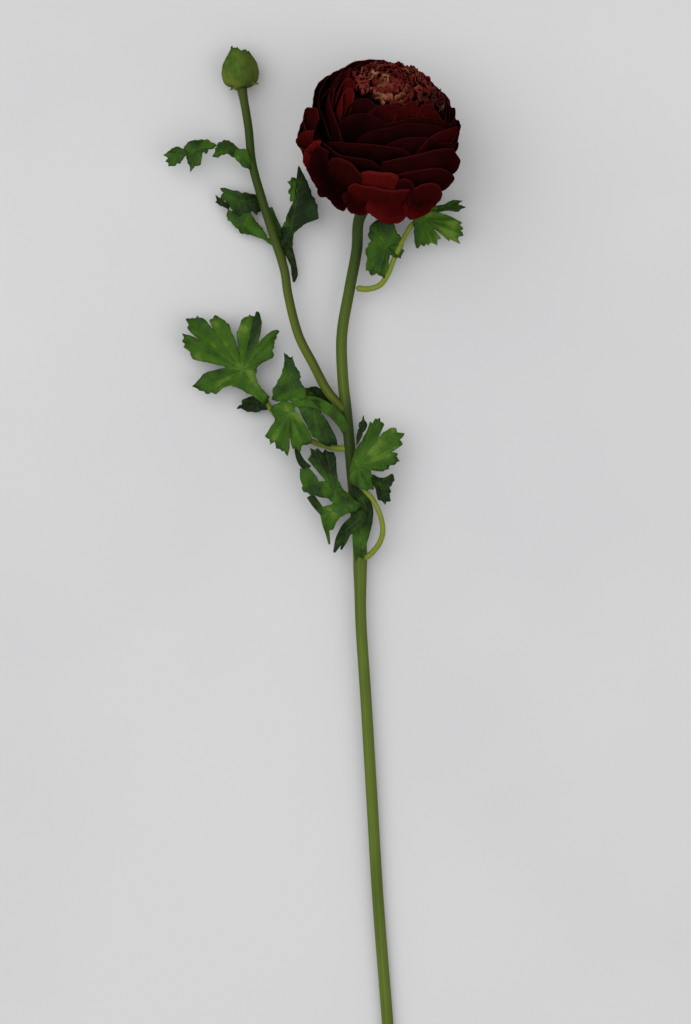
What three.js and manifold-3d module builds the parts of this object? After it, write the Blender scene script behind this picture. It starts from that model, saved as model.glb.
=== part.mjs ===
// A cut persian buttercup lying on a flat surface: one double bloom, a side branch with a bud, and
// lobed leaves. Millimetres, +Z up. The origin is the middle of the small flat spot under the bloom,
// +Y runs along the stem from the cut end to the bloom, and the bud lies to the left, at -X.

import * as THREE from "three";
import { mergeVertices } from "three/addons/utils/BufferGeometryUtils.js";
import Module from "manifold-3d";

const manifold = await Module();
manifold.setup();

// Driving dimensions.
const STEM_RADIUS = 2.7;
const STEM_SWELLING = 0.7;
const SWELLING_AT = 0.59;
const SWELLING_LENGTH = 0.035;
const STEM_SIDES = 12;
const STEM_STATIONS = 30;
const BRANCH_RADIUS = 2.1;
const BRANCH_SIDES = 10;
const BRANCH_STATIONS = 22;
const STALK_RADIUS = 1.15;
const STALK_SIDES = 8;
const CLEARANCE = 0.35;
const LEAF_THICKNESS = 0.9;
const PETAL_THICKNESS = 0.65;
const SEPAL_THICKNESS = 0.7;
const SCALE_THICKNESS = 0.7;
const FLOOR_REACH = 900;

const BALL_RADIUS = 34;
const BALL_CENTRE = new THREE.Vector3(1.1, 1.6, 34.2);
const BALL_OVER_BASE = 31;
const STEM_UNDER_BASE = 7.4;
const BALL_SQUASH = 0.92;
const BLOOM_RISE = 35;
const BLOOM_LEAN = 18;
const BALL_PETALS = 24;
const BALL_PETAL_HALF_WIDTH = 22;
const BALL_TIP_ANGLES = [99, 40];
const BALL_SHELLS_DEPTH = 13;
const BALL_PETAL_RUFFLE = 0.18;
const GUARD_PETALS = 13;
const GUARD_PETAL_HALF_WIDTH = 18.5;
const GUARD_TIP_ANGLES = [141, 97];
const GUARD_SHELLS = [38.2, 35];
const GUARD_TIP_RADIUS = 39.6;
const GUARD_RUFFLES = [1.5, 0.2];
const GUARD_FIRST_TURN = 150;
const ROOT_ANGLE = 167;
const PRESS_HEIGHT = 4;
const PRESS_SHARE = 0.85;
const HEART_SCALES = 28;
const HEART_ANGLE = 37;
const HEART_TIP_DISTANCES = [32.4, 34.6];
const HEART_SCALE_HALF_WIDTH = 4.2;

const CALYX_SEPALS = 5;
const CALYX_REACHES = [3.5, 13.4];
const CALYX_SEPAL_HALF_WIDTH = 4.3;

const BUD_BASE = new THREE.Vector3(-67.1, 26.4, 8.35);
const BUD_LEAN = 4;
const BUD_LENGTH = 17.2;
const BUD_RADIUS = 7.7;
const BUD_SEPALS = 5;

const GOLDEN_ANGLE = 137.508;

// Seeded random numbers between 0 and 1, so that every build gives the same flower.
function randomSource(seed) {
  let state = seed;
  return () => {
    state = (state + 0x6d2b79f5) | 0;
    let mixed = Math.imul(state ^ (state >>> 15), 1 | state);
    mixed = (mixed + Math.imul(mixed ^ (mixed >>> 7), 61 | mixed)) ^ mixed;
    return ((mixed ^ (mixed >>> 14)) >>> 0) / 4294967296;
  };
}

const rad = THREE.MathUtils.degToRad;
const lerp = THREE.MathUtils.lerp;
const smooth = THREE.MathUtils.smoothstep;

// A closed geometry as a solid that can be joined and cut.
function solidOf(geometry) {
  const bare = geometry.clone();
  bare.deleteAttribute("normal");
  bare.deleteAttribute("uv");
  const merged = mergeVertices(bare, 1e-4);
  return new manifold.Manifold(new manifold.Mesh({
    numProp: 3,
    vertProperties: new Float32Array(merged.attributes.position.array),
    triVerts: new Uint32Array(merged.index.array),
  }));
}

// Several solids joined as one.
function union(solids) {
  return solids.reduce((whole, solid) => whole.add(solid));
}

// The largest outer body of a solid: crumbs and sealed pockets are left out.
function mainBody(solid) {
  return solid.decompose().reduce((best, body) => (body.volume() > best.volume() ? body : best));
}

// The surface of a solid as a geometry for a mesh.
function geometryOf(solid) {
  const mesh = solid.getMesh();
  const geometry = new THREE.BufferGeometry();
  geometry.setAttribute("position", new THREE.BufferAttribute(new Float32Array(mesh.vertProperties), 3));
  geometry.setIndex(new THREE.BufferAttribute(new Uint32Array(mesh.triVerts), 1));
  geometry.computeVertexNormals();
  return geometry;
}

// The half space under the surface that the flower lies on.
function floorBlock() {
  const block = new THREE.BoxGeometry(FLOOR_REACH, FLOOR_REACH, FLOOR_REACH);
  block.translate(0, 0, -FLOOR_REACH / 2);
  return solidOf(block);
}

// A round tube along a smooth route. radiusAt gives the radius at a share of the length.
function tube(route, radiusAt, sides, steps) {
  const path = new THREE.CatmullRomCurve3(route.map((point) => new THREE.Vector3(...point)));
  const section = new THREE.Shape();
  for (let side = 0; side < sides; side += 1) {
    const angle = (side / sides) * Math.PI * 2;
    if (side === 0) {
      section.moveTo(1, 0);
    } else {
      section.lineTo(Math.cos(angle), Math.sin(angle));
    }
  }
  const geometry = new THREE.ExtrudeGeometry(section, { steps, extrudePath: path, bevelEnabled: false });
  const stations = path.getSpacedPoints(steps);
  const position = geometry.attributes.position;
  const vertex = new THREE.Vector3();
  for (let index = 0; index < position.count; index += 1) {
    vertex.fromBufferAttribute(position, index);
    let nearest = 0;
    stations.forEach((station, number) => {
      if (station.distanceToSquared(vertex) < stations[nearest].distanceToSquared(vertex)) {
        nearest = number;
      }
    });
    vertex.sub(stations[nearest]).multiplyScalar(radiusAt(nearest / steps)).add(stations[nearest]);
    position.setXYZ(index, vertex.x, vertex.y, vertex.z);
  }
  return solidOf(geometry);
}

// A thin sheet as a closed body: both faces have the same triangles, half the thickness apart from the
// middle, and a wall along the rim. Leaves are thickened straight up, petals along their own normals.
function sheet(points, faces, thickness, upright) {
  const offsets = points.map(() => new THREE.Vector3(0, 0, upright ? 1 : 0));
  if (!upright) {
    const triangle = new THREE.Triangle();
    const normal = new THREE.Vector3();
    faces.forEach((face) => {
      triangle.set(points[face[0]], points[face[1]], points[face[2]]);
      triangle.getNormal(normal).multiplyScalar(triangle.getArea());
      face.forEach((corner) => offsets[corner].add(normal));
    });
    offsets.forEach((offset) => offset.normalize());
  }
  const positions = [];
  [0.5, -0.5].forEach((side) => {
    points.forEach((point, index) => {
      positions.push(...point.clone().addScaledVector(offsets[index], side * thickness).toArray());
    });
  });
  const under = points.length;
  const indices = [];
  const edges = new Set();
  faces.forEach(([a, b, c]) => {
    indices.push(a, b, c, under + c, under + b, under + a);
    [[a, b], [b, c], [c, a]].forEach(([from, to]) => edges.add(`${from} ${to}`));
  });
  edges.forEach((edge) => {
    const [from, to] = edge.split(" ").map(Number);
    if (!edges.has(`${to} ${from}`)) {
      indices.push(to, from, under + from, to, under + from, under + to);
    }
  });
  const geometry = new THREE.BufferGeometry();
  geometry.setAttribute("position", new THREE.Float32BufferAttribute(positions, 3));
  geometry.setIndex(indices);
  return solidOf(geometry);
}

// A sheet on a grid: place gives the point at a share across (-1 to 1) and along (0 to 1).
function gridSheet(across, along, place, thickness) {
  const points = [];
  along.forEach((share) => across.forEach((side) => points.push(place(side, share))));
  const faces = [];
  const width = across.length;
  for (let row = 0; row < along.length - 1; row += 1) {
    for (let column = 0; column < width - 1; column += 1) {
      const corner = row * width + column;
      faces.push([corner, corner + 1, corner + width + 1], [corner, corner + width + 1, corner + width]);
    }
  }
  return sheet(points, faces, thickness, false);
}

// The rim of a toothed lobe in degrees and reach: count teeth from one corner round to the other.
function teeth(fromAngle, fromReach, toAngle, toReach, count, bulge = 0.08) {
  const rim = [];
  const last = 2 * (count - 1);
  for (let step = 0; step <= last; step += 1) {
    const share = step / last;
    const full = lerp(fromReach, toReach, share) * (1 + bulge * Math.sin(share * Math.PI));
    rim.push([lerp(fromAngle, toAngle, share), step % 2 === 0 ? full : full * 0.92]);
  }
  return rim;
}

// A leaf blade seen from above: its rim is given in degrees and reach round the heart of the blade.
// slope tips the blade, droop lowers its far parts, fold makes a roof along a heading.
function blade({ at, rim, slope = [0, 0], droop = 0, fold = null, rings = [1] }) {
  const reach = Math.max(...rim.map((entry) => entry[1]));
  const heading = fold ? rad(fold[0]) : 0;
  const points = [new THREE.Vector3(...at)];
  rings.forEach((share) => rim.forEach(([angle, far]) => {
    const x = Math.cos(rad(angle)) * far * share;
    const y = Math.sin(rad(angle)) * far * share;
    const beside = Math.abs(y * Math.cos(heading) - x * Math.sin(heading));
    const z = slope[0] * x + slope[1] * y - droop * ((far * share) / reach) ** 2;
    points.push(new THREE.Vector3(at[0] + x, at[1] + y, at[2] + z - (fold ? fold[1] * beside : 0)));
  }));
  const faces = [];
  rim.forEach((entry, index) => {
    const next = (index + 1) % rim.length;
    faces.push([0, 1 + index, 1 + next]);
    for (let ring = 1; ring < rings.length; ring += 1) {
      const inner = 1 + (ring - 1) * rim.length;
      const outer = inner + rim.length;
      faces.push([inner + index, outer + index, outer + next], [inner + index, outer + next, inner + next]);
    }
  });
  return sheet(points, faces, LEAF_THICKNESS, true);
}

// A narrow strip of leaf along a route of points, each with half its width as the fourth number.
function strip(route) {
  const points = [];
  route.forEach(([x, y, z, half], index) => {
    const before = route[Math.max(index - 1, 0)];
    const after = route[Math.min(index + 1, route.length - 1)];
    const way = new THREE.Vector2(after[0] - before[0], after[1] - before[1]).normalize();
    points.push(new THREE.Vector3(x + way.y * half, y - way.x * half, z));
    points.push(new THREE.Vector3(x - way.y * half, y + way.x * half, z));
  });
  const faces = [];
  for (let start = 0; start < points.length - 2; start += 2) {
    faces.push([start, start + 2, start + 3], [start, start + 3, start + 1]);
  }
  return sheet(points, faces, LEAF_THICKNESS, true);
}

// Routes of the stem and the side branch, from the cut end or the fork to the flower.
const bloomAxis = new THREE.Vector3(
  Math.sin(rad(BLOOM_LEAN)) * Math.cos(rad(BLOOM_RISE)),
  Math.cos(rad(BLOOM_LEAN)) * Math.cos(rad(BLOOM_RISE)),
  Math.sin(rad(BLOOM_RISE)),
);
const bloomBase = BALL_CENTRE.clone().addScaledVector(bloomAxis, -BALL_OVER_BASE);
const stemTop = bloomBase.clone().addScaledVector(bloomAxis, -STEM_UNDER_BASE);
const stemRoute = [
  [3.2, -433.2, 2.7], [1.7, -412.5, 2.8], [-2.9, -354.2, 3.5], [-5.7, -307.3, 4.3],
  [-8.5, -260.4, 5.2], [-10.9, -222.9, 6], [-11.2, -203.2, 6.5], [-11.4, -187.7, 6.8],
  [-13.2, -172.3, 7], [-14.9, -155, 7.5], [-17.7, -124.6, 8], [-19.2, -111.5, 8],
  [-19.8, -90, 8], [-16.3, -68.5, 8.3], [-12.8, -49.4, 8.6], [-12, -36.5, 10.3], stemTop.toArray(),
];
const branchRoute = [
  [-17.9, -125.5, 8], [-26.3, -116.1, 9], [-33.3, -103.1, 9.5], [-39.9, -90.1, 9.5],
  [-44.9, -70.9, 9.5], [-46.7, -59.2, 9.5], [-52, -42.4, 9.5], [-57.2, -25.8, 9.3],
  [-61.7, -9.2, 9], [-63.5, 7.7, 8.7], [-66.5, 25.9, 8.4],
];

function stemRadius(share) {
  const swelling = Math.exp(-(((share - SWELLING_AT) / SWELLING_LENGTH) ** 2));
  const neck = smooth(share, 0.975, 1);
  return STEM_RADIUS * (1 - 0.05 * share) + STEM_SWELLING * swelling + 0.5 * neck;
}

function branchRadius(share) {
  return BRANCH_RADIUS * (1.05 - 0.12 * share) + 0.5 * smooth(share, 0.94, 1);
}

function stemTube(grown) {
  return tube(stemRoute, (share) => stemRadius(share) + grown, STEM_SIDES, STEM_STATIONS);
}

function branchTube(grown) {
  return tube(branchRoute, (share) => branchRadius(share) + grown, BRANCH_SIDES, BRANCH_STATIONS);
}

const floor = floorBlock();
const stem = stemTube(0).subtract(floor);
const stemRoom = stemTube(CLEARANCE);
const branch = mainBody(branchTube(0).subtract(stemRoom));
const branchRoom = branchTube(CLEARANCE);

// The bloom stands in its own frame: x to its side, y toward the floor, z along its axis.
const bloomDown = new THREE.Vector3(0, 0, -1).addScaledVector(bloomAxis, bloomAxis.z).normalize();
const bloomSide = bloomDown.clone().cross(bloomAxis);
const bloomFrame = new THREE.Matrix4().makeBasis(bloomSide, bloomDown, bloomAxis).setPosition(bloomBase);

// A point of the bloom from its angle off the axis, its turn round it and its distance from the centre.
function bloomPoint(off, turn, distance) {
  const along = Math.cos(rad(off)) * distance;
  const out = Math.sin(rad(off)) * distance;
  const height = BALL_OVER_BASE + (off > 90 ? along * BALL_SQUASH : along);
  const point = new THREE.Vector3(Math.sin(rad(turn)) * out, Math.cos(rad(turn)) * out, height);
  return point.applyMatrix4(bloomFrame);
}

// The underside of the bloom is pressed softly against the surface it lies on.
function pressed(point) {
  if (point.z < PRESS_HEIGHT) {
    point.z = PRESS_HEIGHT - (PRESS_HEIGHT - point.z) * PRESS_SHARE;
  }
  return point;
}

// Shares across and along a petal where its grid has points.
const petalAcross = [-1, -0.72, -0.26, 0.26, 0.72, 1];
const petalAlong = [0, 0.5, 0.8, 1];

// One petal: it runs over its own shell round the ball from the root to the tip.
function petal({ tipAngle, turn, halfWidth, shellAt, ruffle, phase, rootShare = 0 }) {
  const place = (side, share) => {
    const rounded = lerp(rootShare, 1, share) * (1 - 0.17 * Math.abs(side) ** 3);
    const off = lerp(ROOT_ANGLE, tipAngle, rounded);
    const distance = shellAt(off, rounded);
    const width = halfWidth * lerp(0.26, 1, smooth(rounded, 0, 0.6)) * (1 - 0.1 * smooth(rounded, 0.75, 1));
    const spread = Math.min(THREE.MathUtils.radToDeg(width / (distance * Math.sin(rad(off)))), 85);
    const wave = ruffle * smooth(rounded, 0.45, 1) * Math.sin(side * 5.2 + phase);
    return pressed(bloomPoint(off, turn + side * spread, distance + wave));
  };
  return gridSheet(petalAcross, petalAlong, place, PETAL_THICKNESS);
}

function ballPetals() {
  const random = randomSource(11);
  const petals = [];
  for (let number = 0; number < BALL_PETALS; number += 1) {
    const level = number / (BALL_PETALS - 1);
    const tipAngle = lerp(BALL_TIP_ANGLES[0], BALL_TIP_ANGLES[1], level ** 0.88);
    const range = BALL_TIP_ANGLES[0] - BALL_TIP_ANGLES[1];
    petals.push(petal({
      tipAngle,
      turn: number * GOLDEN_ANGLE + (random() - 0.5) * 14,
      halfWidth: BALL_PETAL_HALF_WIDTH * (1 - 0.22 * level),
      shellAt: (off, share) => {
        const covered = (Math.min(off, BALL_TIP_ANGLES[0]) - tipAngle) / range;
        const lip = lerp(1.2, -1.4, level) * smooth(share, 0.78, 1);
        return BALL_RADIUS - BALL_SHELLS_DEPTH * Math.max(covered, 0) + lip;
      },
      ruffle: BALL_PETAL_RUFFLE,
      phase: random() * 6,
      rootShare: 0.5 * smooth(level, 0.2, 0.6),
    }));
  }
  return petals;
}

function guardPetals() {
  const random = randomSource(23);
  const petals = [];
  for (let number = 0; number < GUARD_PETALS; number += 1) {
    const level = number / (GUARD_PETALS - 1);
    const shell = lerp(GUARD_SHELLS[0], GUARD_SHELLS[1], level);
    const turn = number * GOLDEN_ANGLE + GUARD_FIRST_TURN + (random() - 0.5) * 16;
    const hugging = smooth(Math.cos(rad(turn)), 0.1, 0.8);
    const flare = lerp(GUARD_TIP_RADIUS + random() * 1.6 - shell, lerp(-1.6, 0.4, level), hugging);
    petals.push(petal({
      tipAngle: lerp(GUARD_TIP_ANGLES[0], GUARD_TIP_ANGLES[1], level) + (random() - 0.5) * 5,
      turn,
      halfWidth: GUARD_PETAL_HALF_WIDTH * (0.92 + 0.16 * random()),
      shellAt: (off, share) => (
        lerp(GUARD_SHELLS[1], shell, smooth(share, 0.1, 0.6)) + flare * smooth(share, 0.35, 1)
      ),
      ruffle: lerp(GUARD_RUFFLES[0], GUARD_RUFFLES[1], hugging),
      phase: random() * 6,
    }));
  }
  return petals;
}

// A round solid from a profile of [radius, height] pairs, placed by a frame.
function turned(profile, segments, frame) {
  const lathe = new THREE.LatheGeometry(profile.map((pair) => new THREE.Vector2(...pair)), segments);
  lathe.rotateX(Math.PI / 2);
  lathe.applyMatrix4(frame);
  return solidOf(lathe);
}

function bloomPetals() {
  const core = turned(
    [[0, 0.2], [8.5, 0.2], [14, 1.7], [20, 5.6], [26, 12.4], [29.8, 20.4], [30.8, 26], [29.8, 29.6], [0, 29.6]],
    24,
    bloomFrame,
  );
  return mainBody(union([core, ...ballPetals(), ...guardPetals()]).subtract(floor));
}

// The frilly heart: small crinkled scales on a low dome.
function bloomHeart() {
  const random = randomSource(37);
  const dome = turned(
    [[0, 30], [16.5, 30], [18, 40], [20.3, 46.5], [20.4, 50.5], [17, 55], [9.6, 59], [0, 60.6]],
    20,
    bloomFrame,
  );
  const scales = [];
  for (let number = 0; number < HEART_SCALES; number += 1) {
    const off = HEART_ANGLE * Math.sqrt((number + 0.4) / HEART_SCALES);
    const turn = number * GOLDEN_ANGLE + random() * 10;
    const rootDistance = lerp(28, 27, off / HEART_ANGLE);
    const tipDistance = lerp(HEART_TIP_DISTANCES[0], HEART_TIP_DISTANCES[1], off / HEART_ANGLE)
      + random() * 1.4 - 0.7;
    const halfWidth = HEART_SCALE_HALF_WIDTH + random() * 1.2;
    const bend = 0.04 + random() * 0.12;
    const phase = random() * 6;
    const place = (side, share) => {
      const rounded = share * (1 - 0.22 * side * side);
      const distance = lerp(rootDistance, tipDistance, rounded);
      const crinkle = 0.5 * share * Math.sin(side * 6 + phase);
      const width = halfWidth * (0.55 + 0.45 * share);
      const ring = Math.max(Math.sin(rad(off)) * distance, 5.5);
      const inward = (1 - bend * rounded) + (crinkle - 0.9 * side * side) / ring;
      const around = rad(turn) + (side * width) / ring;
      const out = Math.sin(rad(off)) * distance * inward;
      return new THREE.Vector3(
        Math.sin(around) * out,
        Math.cos(around) * out,
        BALL_OVER_BASE + Math.cos(rad(off)) * distance + 0.35 * Math.sin(side * 9 + phase),
      ).applyMatrix4(bloomFrame);
    };
    scales.push(gridSheet([-1, 0.1, 1], [0, 1], place, SCALE_THICKNESS));
  }
  return mainBody(union([dome, ...scales]));
}

// The green cup under the bloom with its five short sepals.
function bloomCalyx() {
  const cup = turned([[0, -7], [3.4, -7], [5.2, -4.6], [6.8, -2.4], [7, -1.3], [0, -1.3]], 14, bloomFrame);
  const sepals = [];
  for (let number = 0; number < CALYX_SEPALS; number += 1) {
    const turn = rad(((number + 0.5) * 360) / CALYX_SEPALS);
    const place = (side, share) => {
      const out = lerp(CALYX_REACHES[0], CALYX_REACHES[1], share * (1 - 0.2 * side * side));
      const rounding = Math.sin(Math.min(share * 1.1 + 0.25, 1) * Math.PI * 0.86);
      const around = turn + (side * CALYX_SEPAL_HALF_WIDTH * rounding) / out;
      const height = -2.6 - 2.4 * share * share + 0.5 * side * side * share;
      return new THREE.Vector3(Math.sin(around) * out, Math.cos(around) * out, height)
        .applyMatrix4(bloomFrame);
    };
    sepals.push(gridSheet([-1, 0, 1], [0, 0.5, 1], place, SEPAL_THICKNESS));
  }
  return mainBody(union([cup, ...sepals]).subtract(stemRoom));
}

// The bud: a plump core wrapped in five sepals whose ragged tips stand up at its mouth.
function flowerBud() {
  const axis = new THREE.Vector3(-Math.sin(rad(BUD_LEAN)), Math.cos(rad(BUD_LEAN)), 0);
  const up = new THREE.Vector3(0, 0, 1);
  const frame = new THREE.Matrix4().makeBasis(up.clone().cross(axis), up, axis).setPosition(BUD_BASE);
  const radiusAt = (share) => BUD_RADIUS * Math.sin(Math.PI * Math.min(share, 1) ** 0.82) ** 0.62;
  const profile = [[0, 0.4]];
  for (let step = 1; step < 8; step += 1) {
    profile.push([radiusAt(step / 8), 0.4 + (step / 8) * (BUD_LENGTH - 2)]);
  }
  profile.push([0, BUD_LENGTH - 1.6]);
  const parts = [turned(profile, 14, frame)];
  const random = randomSource(5);
  for (let number = 0; number < BUD_SEPALS; number += 1) {
    const turn = (number * 360) / BUD_SEPALS + 20;
    const ragged = random() * 6;
    const place = (side, share) => {
      const ragging = 1 - 0.16 * side * side + 0.03 * Math.sin(side * 7 + ragged);
      const height = 0.6 + share * (BUD_LENGTH - 1) * ragging;
      const hug = radiusAt(0.03 + 0.9 * (height / BUD_LENGTH)) + 0.55 + 0.5 * side;
      const spread = rad(40) * Math.min(0.5 + share * 1.6, 1.15 - 0.3 * share);
      const around = rad(turn) + side * spread;
      return new THREE.Vector3(Math.sin(around) * hug, Math.cos(around) * hug, height).applyMatrix4(frame);
    };
    parts.push(gridSheet([-1, -0.4, 0.4, 1], [0, 0.35, 0.7, 1], place, SEPAL_THICKNESS));
  }
  return mainBody(union(parts).subtract(branchRoom).subtract(floor));
}

// A thin leaf stalk that tapers along its route.
function stalk(route) {
  return tube(route, (share) => STALK_RADIUS * (1.15 - 0.3 * share), STALK_SIDES, route.length * 2);
}

// A leaf of several blades, strips and stalks as one body, kept clear of the stem and the branch.
function leaf(parts) {
  return mainBody(union(parts).subtract(stemRoom).subtract(branchRoom));
}

// The drooping leaf near the bud: four small lobed leaflets in a row.
const budLeaf = leaf([
  blade({
    at: [-96.7, -4.8, 11.6],
    slope: [0.12, 0.1],
    rim: [[25, 5.2], [75, 4], [141, 3.4], [180, 5.2], [186, 6.3], [196, 5.4], [208, 4.6], [225, 6.1],
      [238, 6.8], [250, 6], [262, 4.1], [279, 4.8], [286, 5.2], [330, 3.6]],
  }),
  blade({
    at: [-86, -2.6, 12.9],
    slope: [0.04, 0.16],
    fold: [190, 0.12],
    rim: [[22, 8.6], [60, 4.4], [100, 3.7], [140, 5.2], [165, 7.4], [212, 7], [236, 8.8], [241, 10.6],
      [245, 10.1], [247, 11.8], [252, 10.2], [258, 8.4], [268, 8.3], [276, 6.6], [284, 3.5], [302, 3.4],
      [318, 4.4], [352, 7]],
  }),
  blade({
    at: [-72.9, -2.7, 13.4],
    slope: [-0.05, 0.14],
    fold: [15, 0.1],
    rim: [[37, 3.6], [105, 4], [160, 7.4], [185, 7.4], [204, 8.3], [214, 7], [223, 6.7], [250, 2.7],
      [308, 4.8], [345, 5.2]],
  }),
  blade({
    at: [-66, -7.1, 12.1],
    slope: [-0.3, 0.1],
    rim: [[10, 3.6], [69, 4.2], [123, 5.5], [150, 5.3], [214, 3.6], [262, 4.4], [297, 6], [318, 5.6]],
  }),
]);

// The leaf to the left of the middle of the side branch, seen partly behind it.
const branchLeafLeft = leaf([
  stalk([[-46.9, -55.4, 7.6], [-48.3, -49.6, 5.6], [-52, -46.4, 4.9], [-55.2, -44.6, 4.7]]),
  blade({
    at: [-65.8, -29.8, 4.7],
    slope: [-0.03, -0.02],
    droop: -1.2,
    rings: [0.55, 1],
    rim: [[32, 9.3], [75, 7.4], [127, 9.8], [140, 12.6], [144, 14.4], [150, 13], [157, 14.5], [163, 9.8],
      [172, 7.6], [190, 8.3], [212, 9.8], [222, 8.9], [238, 9.6], [259, 11.3], [276, 12.8], [291, 14.2],
      [300, 16.2], [306, 19.7], [312, 13], [320, 5.2], [333, 6.9], [350, 8]],
  }),
]);

// The upright folded leaf to the right of the side branch, with a strip hanging below it.
const branchLeafRight = leaf([
  strip([[-46.4, -48.6, 8.6, 2.4], [-49.2, -41.6, 6.4, 2], [-51.6, -35.4, 5.4, 1.6], [-53.4, -29.6, 5.2, 1]]),
  blade({
    at: [-43.6, -39.6, 9.4],
    fold: [78, 0.28],
    slope: [0.02, 0.05],
    rings: [0.5, 1],
    rim: [[15, 12.4], [22, 13.7], [35, 15.4], [50, 17.8], [65, 21], [76, 25], [83, 28.5], [88, 24.3],
      [95, 20.5], [98, 18.6], [101, 19.2], [104, 16.8], [107, 16.6], [110, 14], [114, 13.2], [118, 9],
      [132, 5], [170, 2.9], [232, 9.6], [247, 11], [262, 6], [300, 3.2]],
  }),
  strip([[-46.4, -44.8, 9.2, 2.6], [-45.2, -49, 8.2, 2.4], [-43.8, -52.6, 7, 1.9], [-42.4, -56.8, 6, 1.4],
    [-41.9, -61.2, 5.4, 1.5], [-42.3, -64.6, 5, 0.5]]),
]);

// The leaf close under the bloom: a curved stalk with a left and a right blade.
const bloomLeaf = leaf([
  stalk([[-13.2, -67.6, 8.3], [-7.6, -68.1, 9.3], [-2, -66.3, 10], [1.7, -61.2, 10.6], [4.5, -54.3, 11.2],
    [8.2, -46.4, 11.9], [12.8, -38.4, 12.5], [15.6, -36.2, 12.8]]),
  blade({
    at: [1.2, -48.3, 12.6],
    slope: [-0.05, 0.03],
    droop: 1,
    rings: [0.55, 1],
    rim: [[2, 7.4], [9, 7], [19, 7.8], [51, 7.5], [71, 11], [110, 13], [128, 12.3], [149, 10.5], [164, 7.6],
      [192, 10.1], [211, 10.5], [229, 15.1], [236, 14.2], [242, 15.4], [248, 13.6], [255, 14], [266, 15],
      [275, 10.9], [281, 4.5], [308, 6.5], [320, 8.8], [328, 7.6], [335, 8.4], [345, 8.2], [353, 7.2]],
  }),
  blade({
    at: [18.4, -35.7, 12.9],
    slope: [-0.02, 0.05],
    droop: 1.5,
    rings: [0.5, 1],
    rim: [[5, 12.9], [30, 6.8], [58, 4.6], [143, 4.8], [185, 5], [249, 11.8], [258, 13.9], [264, 11.6],
      [270, 12.6], [275, 11.6], [280, 12.6], [287, 11.6], [297, 13.9], [304, 11.6], [311, 12.3], [316, 5.6],
      [320, 15.8], [323, 15.2], [326, 20.4], [332, 18.3], [338, 20.1], [343, 18], [347, 18.9], [351, 17],
      [355, 18]],
  }),
  blade({
    at: [29.4, -30.1, 12.7],
    slope: [0.1, 0],
    rim: [[22, 7.8], [40, 4.6], [58, 3.4], [111, 1.4], [178, 6.8], [200, 7], [233, 2.3], [300, 2.2],
      [339, 5.8], [350, 6.4], [358, 8.6], [6, 6.6], [14, 5.2]],
  }),
  strip([[16.4, -34.6, 13, 2], [21, -32.4, 12.8, 1.8], [26, -30.6, 12.5, 1.4]]),
]);

// The large leaf on the left with its long low stalk.
const leftLeaf = leaf([
  stalk([[-16.5, -142.8, 8], [-23.1, -142.3, 6], [-29.2, -140.9, 4.6], [-38.5, -137.1, 3.6],
    [-47, -131, 3.6], [-52.6, -124.9, 4.6], [-55.6, -119.4, 7.4], [-58, -116, 8.6]]),
  blade({
    at: [-66.1, -105.9, 9],
    slope: [-0.02, 0.03],
    droop: 2.6,
    rings: [0.34, 0.7, 1],
    rim: [[9, 6.2], [22, 15.4], ...teeth(29, 16.8, 46, 24.4, 4, 0.02), [53, 22.4], [60, 14], [64, 19],
      ...teeth(69, 25.2, 92, 22.8, 5, 0.09), [99, 18], [101, 10], [103.5, 18],
      ...teeth(107, 24, 124, 28.4, 5, 0.06), [126.6, 23.4], ...teeth(129.5, 30.5, 143.5, 32.8, 4, 0.09),
      [145.7, 26], ...teeth(148.5, 33, 166, 25, 5, 0.04), [171, 8.2], [180, 16],
      ...teeth(186, 20.8, 214, 19.4, 6, 0.2), [224, 11.2], [257, 8.6], [289, 11.8], [302, 19.6],
      [315, 18.4], [330, 7.2]],
  }),
  blade({
    at: [-59.7, -121.2, 4],
    slope: [0.06, -0.05],
    rim: [[10, 3.6], [60, 3.6], [129, 4.6], [150, 5.6], [165, 6.3], [172, 7.4], [183, 7], [195, 9.7],
      [203, 7.2], [240, 4.7], [275, 4.4], [315, 8.4], [332, 8.4]],
  }),
]);

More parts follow.
